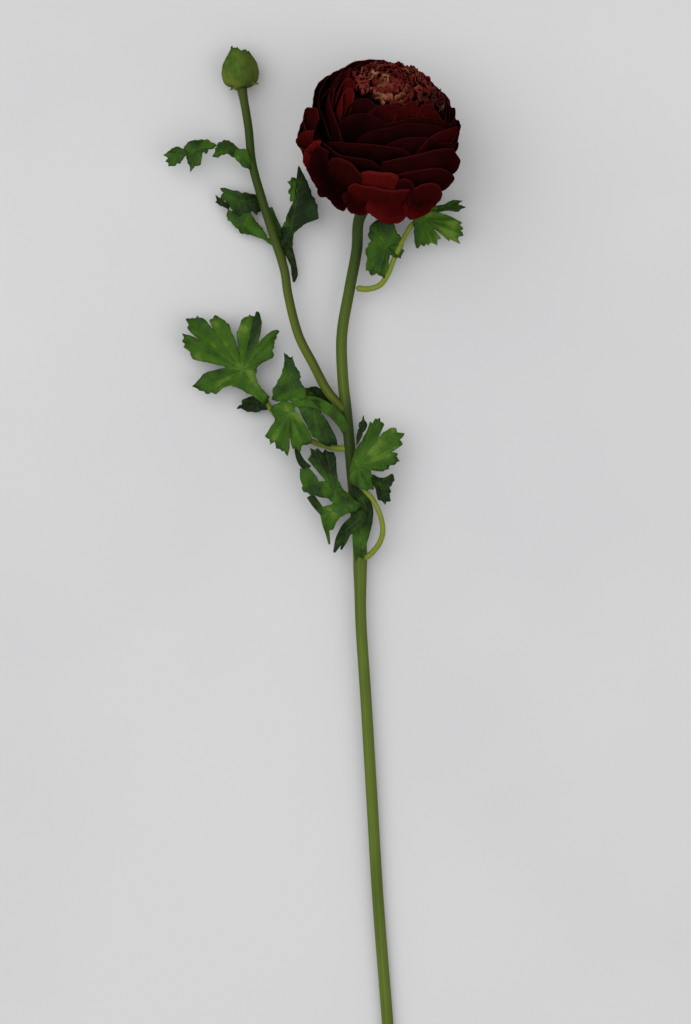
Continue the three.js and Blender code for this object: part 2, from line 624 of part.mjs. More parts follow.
// The leaf in the middle, above the fork: a folded leaflet, two hanging ones and one behind the branch.
const middleLeaf = leaf([
  strip([[-17.4, -135, 9.6, 2], [-20.6, -129.6, 11.6, 2.5], [-25.4, -124.8, 13, 2.6],
    [-31.2, -121.6, 13.6, 2.6], [-38, -120.6, 13.8, 2.6], [-43, -121.4, 13.6, 2.4]]),
  blade({
    at: [-44, -126.2, 14.2],
    slope: [0, -0.03],
    droop: 1.6,
    rings: [0.5, 1],
    rim: [[9, 3.4], [87, 4.8], [125, 6.6], [182, 7.6], [211, 10.2], [223, 15.8], [230, 14.2], [238, 17.5],
      [242, 14.9], [248, 17.8], [253, 16.6], [257, 18.4], [262, 17.4], [267, 20], [270, 12], [275, 17.3],
      [279, 16.6], [284, 19], [291, 15.8], [299, 16.6], [306, 17.4], [313, 14.4], [321, 10.8], [345, 5.2]],
  }),
  blade({
    at: [-43.6, -115.9, 13.6],
    fold: [105, 0.22],
    rings: [0.5, 1],
    rim: [[21, 6.7], [45, 6.4], [53, 8], [61, 6.5], [69, 10.2], [80, 13.6], [87, 16.2], [93, 15],
      [100, 17.8], [105, 11.8], [129, 8.2], [181, 8.2], [205, 9.8], [235, 6.4], [286, 5.8], [334, 8.8]],
  }),
  blade({
    at: [-33.3, -121.5, 13.6],
    slope: [0.02, 0.09],
    droop: 0.6,
    rings: [0.55, 1],
    rim: [[50, 2.8], [175, 7], [207, 7.4], [244, 9.2], [270, 15.4], [276, 16.2], [282, 19.6], [286, 19],
      [291, 21.8], [295, 20.6], [300, 22.8], [303, 20.4], [307, 14.2], [311, 8.2], [340, 3.4]],
  }),
  blade({
    at: [-31, -118.9, 5.5],
    slope: [-0.03, 0.02],
    rim: [[26, 4.6], [60, 4.7], [99, 4.9], [140, 7.5], [175, 6.2], [230, 4.2], [294, 7.6], [310, 8.2],
      [334, 7.6]],
  }),
  strip([[-39, -118.4, 13.2, 2.2], [-37.2, -118.2, 9.6, 2.2], [-35.4, -118.2, 6.6, 2.2],
    [-32.6, -118.4, 5.6, 2.4]]),
]);

// The leaf on the right of the stem: its stalk loops out and back to a fan over the stem.
const rightLeaf = leaf([
  stalk([[-10.4, -194.8, 6.9], [-6, -191.6, 9.4], [-2, -186.3, 12], [-0.7, -180.7, 13.6],
    [-2.1, -173.2, 14.4], [-5.3, -166.7, 14.4], [-9.6, -161.6, 14.6], [-12.2, -156.6, 14.9]]),
  blade({
    at: [-12.3, -150.9, 15.2],
    slope: [-0.04, 0.03],
    droop: 2,
    rings: [0.42, 0.74, 1],
    rim: [[3, 17], [7, 19.6], [12, 17.8], [17, 19.5], [22, 17], [25, 20], [29, 23.6], [32, 22.8], [35, 26.4],
      [40, 23.8], [44, 25.2], [49, 23.2], [54, 16.4], [57, 22.3], [60, 23.4], [63, 22], [66, 24.2],
      [70, 23.4], [74, 17.3], [76, 16.6], [79, 20.3], [84, 23.4], [88, 19.4], [91, 14.8], [100, 8],
      [173, 3.2], [238, 8.2], [273, 10.6], [305, 13.3], [324, 8], [345, 6.4], [348, 11.6], [355, 14.3]],
  }),
  blade({
    at: [-2.5, -159.2, 14],
    slope: [-0.14, 0.04],
    rim: [[15, 7.3], [38, 7.8], [44, 4.8], [96, 3.2], [130, 6.2], [151, 4.4], [238, 3.2], [270, 7.8],
      [279, 7.4], [287, 9.9], [296, 8], [304, 9.5], [318, 7], [325, 7.6], [332, 6.3], [346, 5.6], [358, 4.9]],
  }),
]);

// The leaves at the lower node: one to the left over the stem and dark strips along it.
const lowerLeaves = leaf([
  stalk([[-13.6, -168, 9], [-13, -168.6, 11.4], [-13.4, -168.4, 13.6]]),
  blade({
    at: [-23, -162.5, 12.8],
    slope: [0.02, -0.08],
    droop: 0.8,
    rings: [0.5, 1],
    rim: [[56, 4], [84, 9], [88, 16], [93, 19.4], [98, 18.4], [103, 20.3], [108, 18.4], [112, 21.7],
      [116, 21.4], [120, 23.2], [125, 20.4], [129, 19], [131, 13], [134, 7.8], [139, 8.2], [141, 14],
      [147, 19.6], [152, 18.6], [166, 16.5], [180, 15.1], [190, 11.5], [198, 8], [212, 5.6], [229, 9.8],
      [243, 13.6], [252, 15.2], [259, 18.3], [264, 15.2], [269, 17], [276, 13.4], [286, 12.2], [303, 12.6],
      [317, 14], [332, 14], [345, 6.8]],
  }),
  strip([[-35.4, -152.2, 12.2, 1.8], [-38.6, -149, 11.4, 1.7], [-40.6, -144.4, 11.4, 1.2],
    [-41.3, -139.8, 11.6, 0.5]]),
  strip([[-34.6, -164.6, 12.4, 1.8], [-32, -168.4, 11.6, 1.9], [-29, -172.2, 11.4, 1.6],
    [-26.6, -175.4, 12.2, 1.6]]),
  strip([[-28.4, -173.4, 12.2, 1.5], [-27.6, -178, 11.4, 1.3], [-26.4, -182.8, 10.6, 0.9],
    [-25.6, -187.4, 10, 0.4]]),
  strip([[-11.8, -195.6, 9, 1.4], [-11.8, -189.6, 10.9, 2.8], [-11, -183.2, 11.2, 3.9],
    [-9.6, -176.4, 11.3, 4.2], [-8.6, -170.8, 11.4, 3.3], [-11, -165.2, 11.8, 2.8],
    [-15.6, -160.2, 12.2, 0.7]]),
  strip([[-9.4, -171.6, 11.6, 2.4], [-12.8, -176.4, 13.4, 3.4], [-17.2, -180.2, 12.8, 3.1],
    [-20.8, -185.4, 11.6, 2.1], [-23.4, -191.2, 10.6, 0.5]]),
  strip([[-17.6, -180.8, 12.8, 2.4], [-18.4, -185.4, 11.8, 1.3], [-20.2, -189.8, 10.8, 0.4]]),
]);

const flower = new THREE.Group();

function addPiece(name, solid, color, roughness) {
  const material = new THREE.MeshStandardMaterial({ color, roughness, metalness: 0 });
  const mesh = new THREE.Mesh(geometryOf(solid), material);
  mesh.name = name;
  flower.add(mesh);
}

addPiece("main_stem", stem, 0x5f7a2c, 0.55);
addPiece("bud_branch", branch, 0x5c722e, 0.55);
addPiece("bloom_calyx", bloomCalyx(), 0x567a33, 0.6);
addPiece("bloom_petals", bloomPetals(), 0x3a0510, 0.7);
addPiece("bloom_heart", bloomHeart(), 0x6e2a1c, 0.75);
addPiece("flower_bud", flowerBud(), 0x57822f, 0.6);
addPiece("bud_leaf", budLeaf, 0x3f7034, 0.6);
addPiece("branch_leaf_left", branchLeafLeft, 0x33612f, 0.6);
addPiece("branch_leaf_right", branchLeafRight, 0x2f5c2d, 0.6);
addPiece("bloom_leaf", bloomLeaf, 0x3d6e2d, 0.6);
addPiece("left_leaf", leftLeaf, 0x39702f, 0.6);
addPiece("middle_leaf", middleLeaf, 0x37692e, 0.6);
addPiece("right_leaf", rightLeaf, 0x3b6f2f, 0.6);
addPiece("lower_leaves", lowerLeaves, 0x2f5f2c, 0.6);

export default flower;
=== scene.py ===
import logging
import math
import random
from dataclasses import dataclass, field, replace
from enum import Enum
from typing import Callable, Sequence

import bmesh
import bpy
from mathutils import Matrix, Vector, noise

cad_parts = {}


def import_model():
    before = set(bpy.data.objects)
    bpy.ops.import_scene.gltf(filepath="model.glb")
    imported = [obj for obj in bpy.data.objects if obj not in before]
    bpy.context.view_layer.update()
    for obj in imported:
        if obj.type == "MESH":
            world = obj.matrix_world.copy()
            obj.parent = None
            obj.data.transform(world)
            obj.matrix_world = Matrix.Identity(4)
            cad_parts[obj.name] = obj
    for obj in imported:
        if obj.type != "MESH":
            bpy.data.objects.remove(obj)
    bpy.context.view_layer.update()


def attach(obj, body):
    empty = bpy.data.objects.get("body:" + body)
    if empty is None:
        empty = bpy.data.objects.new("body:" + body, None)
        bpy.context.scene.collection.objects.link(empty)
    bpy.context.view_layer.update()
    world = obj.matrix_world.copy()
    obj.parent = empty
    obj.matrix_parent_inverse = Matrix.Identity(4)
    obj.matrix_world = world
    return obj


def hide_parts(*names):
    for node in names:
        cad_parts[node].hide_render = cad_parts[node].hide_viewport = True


LOG = logging.getLogger("buttercup")

MILLIMETRE = 0.001
GOLDEN_ANGLE = 137.508
ROUND_STEPS = 32
GRAIN_ROUGHNESS = 0.55
VEIN_LENGTH = 20.0
FAR_FROM_VEINS = 9.0

Pair = tuple[float, float]
Triple = tuple[float, float, float]
Four = tuple[float, float, float, float]
Colour = Four
Line = tuple[Pair, ...]
Place = Callable[[float, float], Vector]


class Slot(Enum):
    """The record's material slots."""

    STEM = "stem"
    LEAF = "leaf"
    PETAL = "petal"
    HEART = "heart"
    BUD = "bud"


class Tone(Enum):
    """How dark a part of a leaf is painted, up to 1 for dark green: partly its own green, partly painted
    shade on blades turned from the light; stalks are yellower.
    """

    STALK = -0.4
    FRESH = 0.25
    MID = 0.5
    DEEP = 0.75
    DARK = 1.0


def lerp(start: float, end: float, share: float) -> float:
    """Blend two numbers by a share."""
    return start + (end - start) * share


def smooth(value: float, low: float, high: float) -> float:
    """Ease from 0 at low to 1 at high."""
    share = min(max((value - low) / (high - low), 0.0), 1.0)
    return share * share * (3 - 2 * share)


def hump(turn: float, middle: float, width: float) -> float:
    """Give 1 where a turn in degrees is at the middle, and less away from it."""
    apart = (turn - middle + 180) % 360 - 180
    return math.exp(-((apart / width) ** 2))


def heading_of(degrees: float) -> Vector:
    """Give the flat direction of a heading in degrees."""
    return Vector((math.cos(math.radians(degrees)), math.sin(math.radians(degrees)), 0))


def swatch(red: int, green: int, blue: int) -> Colour:
    """Turn a displayed colour of 0 to 255 into the linear colour that shaders use."""
    linear = [(c / 255 / 12.92) if c < 11 else ((c / 255 + 0.055) / 1.055) ** 2.4 for c in (red, green, blue)]
    return (linear[0], linear[1], linear[2], 1.0)


# Shader building


class Term:
    """A node socket that takes part in Python arithmetic."""

    def __init__(self, graph: "Graph", socket: bpy.types.NodeSocket) -> None:
        """Wrap a socket of a graph."""
        self.graph = graph
        self.socket = socket

    def __add__(self, other: "Term | float") -> "Term":
        """Add a value."""
        return self.graph.math("ADD", self, other)

    def __radd__(self, other: float) -> "Term":
        """Add to a value."""
        return self.graph.math("ADD", other, self)

    def __sub__(self, other: "Term | float") -> "Term":
        """Take a value away."""
        return self.graph.math("SUBTRACT", self, other)

    def __rsub__(self, other: float) -> "Term":
        """Take this away from a value."""
        return self.graph.math("SUBTRACT", other, self)

    def __mul__(self, other: "Term | float") -> "Term":
        """Multiply by a value."""
        return self.graph.math("MULTIPLY", self, other)

    def __rmul__(self, other: float) -> "Term":
        """Multiply a value."""
        return self.graph.math("MULTIPLY", other, self)

    def power(self, exponent: float) -> "Term":
        """Raise to a power."""
        return self.graph.math("POWER", self, exponent)

    def eased(self, low: float, high: float) -> "Term":
        """Ease from 0 at low to 1 at high.

        Args:
            low: Where it leaves 0.
            high: Where it reaches 1.

        Returns:
            The eased value.
        """
        settings = {"interpolation_type": "SMOOTHSTEP"}
        values = {"Value": self, "From Min": low, "From Max": high}
        return self.graph.node("ShaderNodeMapRange", settings, values).out("Result")


class Made:
    """A node that was just made, with its outputs at hand."""

    def __init__(self, graph: "Graph", node: bpy.types.Node) -> None:
        """Keep the node and its graph."""
        self.graph = graph
        self.node = node

    def out(self, name: str | int = 0) -> Term:
        """Give one output as a term."""
        return Term(self.graph, self.node.outputs[name])


class Graph:
    """The node tree of one material."""

    def __init__(self, name: str) -> None:
        """Start a material that holds only its shader and its output.

        Args:
            name: The material's name.
        """
        self.material = bpy.data.materials.new(name)
        self.material.use_nodes = True
        self.tree = self.material.node_tree
        self.tree.nodes.clear()
        output = self.tree.nodes.new("ShaderNodeOutputMaterial")
        self.shader = self.tree.nodes.new("ShaderNodeBsdfPrincipled")
        self.tree.links.new(self.shader.outputs["BSDF"], output.inputs["Surface"])

    def node(
        self,
        kind: str,
        settings: dict[str, object] | None = None,
        values: dict[str | int, object] | None = None,
    ) -> Made:
        """Make one node.

        Args:
            kind: The node's type.
            settings: Its properties, set first.
            values: A value or a term for each named or numbered input.

        Returns:
            The node with its outputs.
        """
        node = self.tree.nodes.new(kind)
        for name, setting in (settings or {}).items():
            setattr(node, name, setting)
        for name, value in (values or {}).items():
            self.feed(node.inputs[name], value)
        return Made(self, node)

    def feed(self, socket: bpy.types.NodeSocket, value: object) -> None:
        """Link a term to a socket, or set a plain value on it.

        Args:
            socket: The input.
            value: A term or a plain value.
        """
        if isinstance(value, Term):
            self.tree.links.new(value.socket, socket)
        else:
            socket.default_value = value

    def math(self, operation: str, first: "Term | float", second: "Term | float") -> Term:
        """Combine two numbers with a Math node."""
        return self.node("ShaderNodeMath", {"operation": operation}, {0: first, 1: second}).out()

    def mix(self, first: "Term | Colour", second: "Term | Colour", factor: "Term | float") -> Term:
        """Blend two colours.

        Args:
            first: The colour at factor 0.
            second: The colour at factor 1.
            factor: How much of the second shows.

        Returns:
            The blended colour.
        """
        settings = {"data_type": "RGBA", "clamp_factor": True}
        return self.node("ShaderNodeMix", settings, {0: factor, 6: first, 7: second}).out(2)

    def attribute(self, name: str) -> Term:
        """Read a number that a piece's mesh carries."""
        return self.node("ShaderNodeAttribute", {"attribute_name": name}).out("Fac")

    def spot(self, stretch: Triple = (1.0, 1.0, 1.0), on_uv: bool = False) -> Term:
        """Give the place on the piece, stretched along its three axes.

        Args:
            stretch: The scale along each axis.
            on_uv: Follow the piece's UV map, or else its place in metres.

        Returns:
            The stretched place.
        """
        if on_uv:
            place = self.node("ShaderNodeUVMap", {"uv_map": "UVMap"}).out()
        else:
            place = self.node("ShaderNodeTexCoord").out("Object")
        return self.node("ShaderNodeMapping", None, {"Vector": place, "Scale": stretch}).out()

    def grain(self, place: Term, size: float, detail: float) -> Term:
        """Give soft noise of 0 to 1.

        Args:
            place: Where it is.
            size: How fine it is.
            detail: How many finer layers it has.

        Returns:
            The noise.
        """
        values = {"Vector": place, "Scale": size, "Detail": detail, "Roughness": GRAIN_ROUGHNESS}
        return self.node("ShaderNodeTexNoise", None, values).out("Fac")

    def relief(self, height: Term, depth: float, strength: float) -> None:
        """Feed a height of 0 to 1 to the shader's normal.

        Args:
            height: The relief.
            depth: How deep it is, in metres.
            strength: How strongly it shows.
        """
        bump = self.node("ShaderNodeBump", None, {"Height": height, "Distance": depth, "Strength": strength})
        self.feed(self.shader.inputs["Normal"], bump.out())

    def finish(self, colour: Term, roughness: "Term | float", **constants: object) -> bpy.types.Material:
        """Feed the shader and give the material.

        Args:
            colour: The base colour.
            roughness: The roughness.
            **constants: Plain values for other inputs, with _ for a space in their names.

        Returns:
            The finished material.
        """
        self.feed(self.shader.inputs["Base Color"], colour)
        self.feed(self.shader.inputs["Roughness"], roughness)
        for name, value in constants.items():
            self.shader.inputs[name.replace("_", " ").title().replace("Ior", "IOR")].default_value = value
        return self.material


@dataclass(frozen=True)
class Skin:
    """What every finish has: a name, its gloss, its roughness and its relief.

    The roughness is the smoothest value and how much its grain adds; the relief is a depth in metres.
    """

    name: str = "skin"
    gloss: float = 0.12
    roughness: Pair = (0.5, 0.2)
    relief: float = 0.0006
    strength: float = 0.7

    def dress(self, graph: Graph, colour: Term, height: Term, grain: Term) -> bpy.types.Material:
        """Give a material its colour, relief, roughness and gloss.

        Args:
            graph: The material's graph.
            colour: Its base colour.
            height: Its relief of 0 to 1.
            grain: How much rougher it is, of 0 to 1.

        Returns:
            The finished material.
        """
        graph.relief(height, self.relief, self.strength)
        smoothest, more = self.roughness
        return graph.finish(colour, smoothest + grain * more, specular_ior_level=self.gloss)


@dataclass(frozen=True)
class StemSkin(Skin):
    """Smooth green skin with fine ribs along its length, a browner right side that also takes more painted
    shade, and a stretch of painted shade.

    The knot adds painted shade between the knot and the fork: it darkens over the first two shares of
    knot_shade_span and lightens over the last two. The neck deepens the painted shade near the end.
    """

    name: str = "stem_skin"
    light: Colour = swatch(95, 113, 36)
    deep: Colour = swatch(68, 86, 20)
    brown: Colour = swatch(62, 60, 18)
    shaded: Colour = swatch(42, 60, 10)
    brownness: float = 0.3
    shade: float = 0.33
    stretch: Pair = (0.5, 0.72)
    neck: float = 1.6
    knot: float = 0.75
    knot_shade_span: Four = (0.57, 0.66, 0.75, 0.785)
    rib_stretch: Triple = (26.0, 2.2, 1.0)
    patch_stretch: Triple = (1.0, 0.35, 1.0)
    patch_size: float = 55.0
    gloss: float = 0.16
    roughness: Pair = (0.45, 0.2)
    relief: float = 0.00025
    strength: float = 0.5

    def material(self) -> bpy.types.Material:
        """Make the material: the UV map's u runs round the stem and v along it.

        Returns:
            The finished material.
        """
        graph = Graph(self.name)
        ribs = graph.grain(graph.spot(self.rib_stretch, on_uv=True), 1.0, 4.0)
        patches = graph.grain(graph.spot(self.patch_stretch), self.patch_size, 3.0)
        side = graph.attribute("side")
        mottling = ribs.eased(0.35, 0.68) * 0.55 + patches.eased(0.35, 0.7) * 0.45
        green = graph.mix(self.light, self.deep, mottling)
        browning = (side * 0.75 + patches * 0.25).eased(0.3, 0.9)
        browned = graph.mix(green, self.brown, browning * self.brownness)
        along = graph.attribute("share") + (patches - 0.5) * 0.06
        # painted shade along a stretch of the stem, deepened by the neck near its end
        shadow = along.eased(*self.stretch) * (0.6 + along.eased(0.85, 0.97) * self.neck)
        # painted shade between the knot and the fork
        knot = along.eased(*self.knot_shade_span[:2]) * (1.0 - along.eased(*self.knot_shade_span[2:])) * self.knot
        # the painted shade falls more on the right side
        final = graph.mix(browned, self.shaded, shadow * (self.shade + side * 0.3) + knot)
        return self.dress(graph, final, ribs, ribs)


@dataclass(frozen=True)
class LeafSkin(Skin):
    """A leaf's mottled green with painted shade on one side of each vein, faint paler veins and dark rims."""

    name: str = "leaf_skin"
    pale: Colour = swatch(92, 120, 40)
    fresh: Colour = swatch(54, 90, 15)
    dark: Colour = swatch(15, 30, 6)
    vein: Colour = swatch(92, 124, 44)
    yellow: Colour = swatch(118, 130, 44)
    blue: Colour = swatch(50, 80, 38)
    blotch_size: float = 120.0
    patch_size: float = 60.0
    cell_size: float = 1100.0
    vein_gap: float = 2.6
    roughness: Pair = (0.52, 0.18)

    def material(self) -> bpy.types.Material:
        """Make the material from the attributes tone, vein, along, side and rim.

        Returns:
            The finished material.
        """
        graph = Graph(self.name)
        tone, rim, side = graph.attribute("tone"), graph.attribute("rim"), graph.attribute("side")
        distance, along = graph.attribute("vein"), graph.attribute("along")
        place = graph.spot()
        blotches = graph.grain(place, self.blotch_size, 5.0)
        patches = graph.grain(place, self.patch_size, 2.0)
        cells = graph.grain(place, self.cell_size, 2.0)
        # painted shade: tone is partly painted shade on blades turned from the light, and side darkens one
        # side of each vein
        shade = tone + (blotches - 0.5) * 1.3 + (patches - 0.5) * 0.9 + side * 0.22
        young = graph.mix(self.pale, self.fresh, shade.eased(-0.1, 0.35))
        green = graph.mix(young, self.dark, shade.eased(0.3, 1.1))
        # bluer in random patches and on the painted-shade side of each vein
        blue_in_shade_and_patches = (patches.eased(0.5, 0.7) + side) * tone.eased(0.1, 0.5) * (1.0 - tone.eased(0.7, 1.0) * 0.7)
        bluish = graph.mix(green, self.blue, blue_in_shade_and_patches * 0.26)
        stalked = graph.mix(self.yellow, bluish, tone.eased(-0.4, 0.0))
        main = 1.0 - distance.eased(0.05, 0.4)
        slanted = graph.math("PINGPONG", along - distance * 0.9 + (blotches - 0.5) * 1.2, self.vein_gap)
        branching = (1.0 - slanted.eased(0.0, 0.7)) * (1.0 - distance.eased(2.0, 5.0))
        veined = graph.mix(stalked, self.vein, main * 0.2 + branching * 0.08)
        edged = graph.mix(veined, self.dark, rim.eased(0.84, 1.0) * patches.eased(0.38, 0.6) * 0.45)
        rimmed = graph.mix(edged, self.yellow, rim.eased(0.96, 1.0) * blotches.eased(0.5, 0.65) * 0.5)
        final = graph.mix(rimmed, self.dark, cells.eased(0.45, 0.8) * 0.3)
        height = cells * 0.3 + blotches * 0.5 - main * 0.4 - branching * 0.12
        return self.dress(graph, final, height, cells)


@dataclass(frozen=True)
class PetalSkin(Skin):
    """Velvety near-black burgundy with fine streaks from root to rim, painted shade where a petal goes under
    its neighbours, a painted red glow where light shines through thin petals and a painted highlight along
    the rims.
    """

    name: str = "petal_skin"
    black: Colour = swatch(6, 2, 2)
    wine: Colour = swatch(31, 6, 6)
    red: Colour = swatch(104, 18, 18)
    rose_highlight: Colour = swatch(96, 34, 30)
    streak_stretch: Triple = (34.0, 2.0, 1.0)
    fold_stretch: Triple = (7.0, 1.2, 1.0)
    cloud_size: float = 90.0
    gloss: float = 0.0
    roughness: Pair = (0.6, 0.2)
    relief: float = 0.0007

    def material(self) -> bpy.types.Material:
        """Make the material from the attributes share and red and the petal's UV map.

        Returns:
            The finished material.
        """
        graph = Graph(self.name)
        share, red = graph.attribute("share"), graph.attribute("red")
        streaks = graph.grain(graph.spot(self.streak_stretch, on_uv=True), 1.0, 5.0)
        folds = graph.grain(graph.spot(self.fold_stretch, on_uv=True), 1.0, 2.0)
        clouds = graph.grain(graph.spot(), self.cloud_size, 3.0)
        # painted shade: near-black toward where the petal goes under its neighbours, varied by random clouds
        depth = share.eased(0.45, 1.0) * 0.6 + clouds.eased(0.35, 0.7) * 0.4
        body = graph.mix(self.black, self.wine, depth * (0.35 + streaks * 0.9))
        # painted glow and painted light: redder on the thin, lit petals that the red number marks
        glow_reddened = graph.mix(body, self.red, red.power(1.5) * (0.2 + clouds * 0.6 + streaks * 0.6))
        # painted highlight along the rim
        rimmed = graph.mix(glow_reddened, self.rose_highlight, share.eased(0.95, 1.0) * (0.1 + red * 0.4))
        return self.dress(graph, rimmed, streaks * 0.55 + folds * 0.45, streaks)


@dataclass(frozen=True)
class HeartSkin(Skin):
    """The heart's scales: painted shade at the root, red above with pink tips that are partly painted light,
    and golden and olive tips.
    """

    name: str = "heart_skin"
    shadow: Colour = swatch(14, 2, 3)
    red: Colour = swatch(100, 20, 20)
    rose_highlight: Colour = swatch(134, 56, 46)
    brown: Colour = swatch(60, 24, 16)
    gold: Colour = swatch(176, 130, 84)
    green: Colour = swatch(92, 74, 34)
    speckle_size: float = 420.0
    cloud_size: float = 160.0
    gloss: float = 0.06
    roughness: Pair = (0.55, 0.2)
    strength: float = 0.6

    def material(self) -> bpy.types.Material:
        """Make the material from the attributes share, red, gold and green.

        Returns:
            The finished material.
        """
        graph = Graph(self.name)
        share, red = graph.attribute("share"), graph.attribute("red")
        gold, green = graph.attribute("gold"), graph.attribute("green")
        place = graph.spot()
        speckle = graph.grain(place, self.speckle_size, 4.0)
        clouds = graph.grain(place, self.cloud_size, 2.0)
        hue = graph.mix(self.brown, self.red, red.eased(0.1, 0.6))
        # painted shade toward the root of each scale
        low = graph.mix(self.shadow, hue, share.eased(0.45, 1.0) * (0.3 + speckle))
        # pink tips, partly the scales' own colour and partly painted light
        lit = graph.mix(low, self.rose_highlight, share.eased(0.7, 1.0) * (clouds + red * 0.3).eased(0.6, 1.0) * 0.75)
        greened = graph.mix(lit, self.green, green * share.eased(0.45, 0.95) * (0.4 + speckle * 0.8))
        gilded = graph.mix(greened, self.gold, gold * share.eased(0.45, 0.98) * (0.35 + speckle))
        return self.dress(graph, gilded, speckle, speckle)


@dataclass(frozen=True)
class BudSkin(Skin):
    """The matt granular green of sepals, with yellower patches and painted olive shade on one side."""

    name: str = "bud_skin"
    green: Colour = swatch(74, 100, 30)
    deep: Colour = swatch(44, 68, 16)
    yellow: Colour = swatch(108, 116, 40)
    olive: Colour = swatch(62, 68, 20)
    blotch_size: float = 300.0
    grain_size: float = 1500.0
    patch_size: float = 130.0
    line_stretch: Triple = (16.0, 1.6, 1.0)
    roughness: Pair = (0.7, 0.15)

    def material(self) -> bpy.types.Material:
        """Make the material from the attributes share and side and the UV map.

        Returns:
            The finished material.
        """
        graph = Graph(self.name)
        share, side = graph.attribute("share"), graph.attribute("side")
        place = graph.spot()
        blotches = graph.grain(place, self.blotch_size, 5.0)
        grains = graph.grain(place, self.grain_size, 3.0)
        lines = graph.grain(graph.spot(self.line_stretch, on_uv=True), 1.0, 3.0)
        patches = graph.grain(place, self.patch_size, 2.0).eased(0.48, 0.68)
        mottling = blotches.eased(0.4, 0.7) * 0.55 + lines.eased(0.45, 0.75) * 0.35
        body = graph.mix(self.green, self.deep, mottling)
        patched = graph.mix(body, self.yellow, patches * (1.0 - share * 0.6) * 0.8)
        # painted shade: olive on the bud's shaded side
        side_shaded = graph.mix(patched, self.olive, side.eased(0.35, 0.85) * 0.6)
        tipped = graph.mix(side_shaded, self.deep, share.eased(0.86, 1.0) * 0.5)
        final = graph.mix(tipped, self.deep, grains.eased(0.5, 0.8) * 0.3)
        return self.dress(graph, final, blotches * 0.5 + grains * 0.3 + lines * 0.2, grains)


# Mesh building


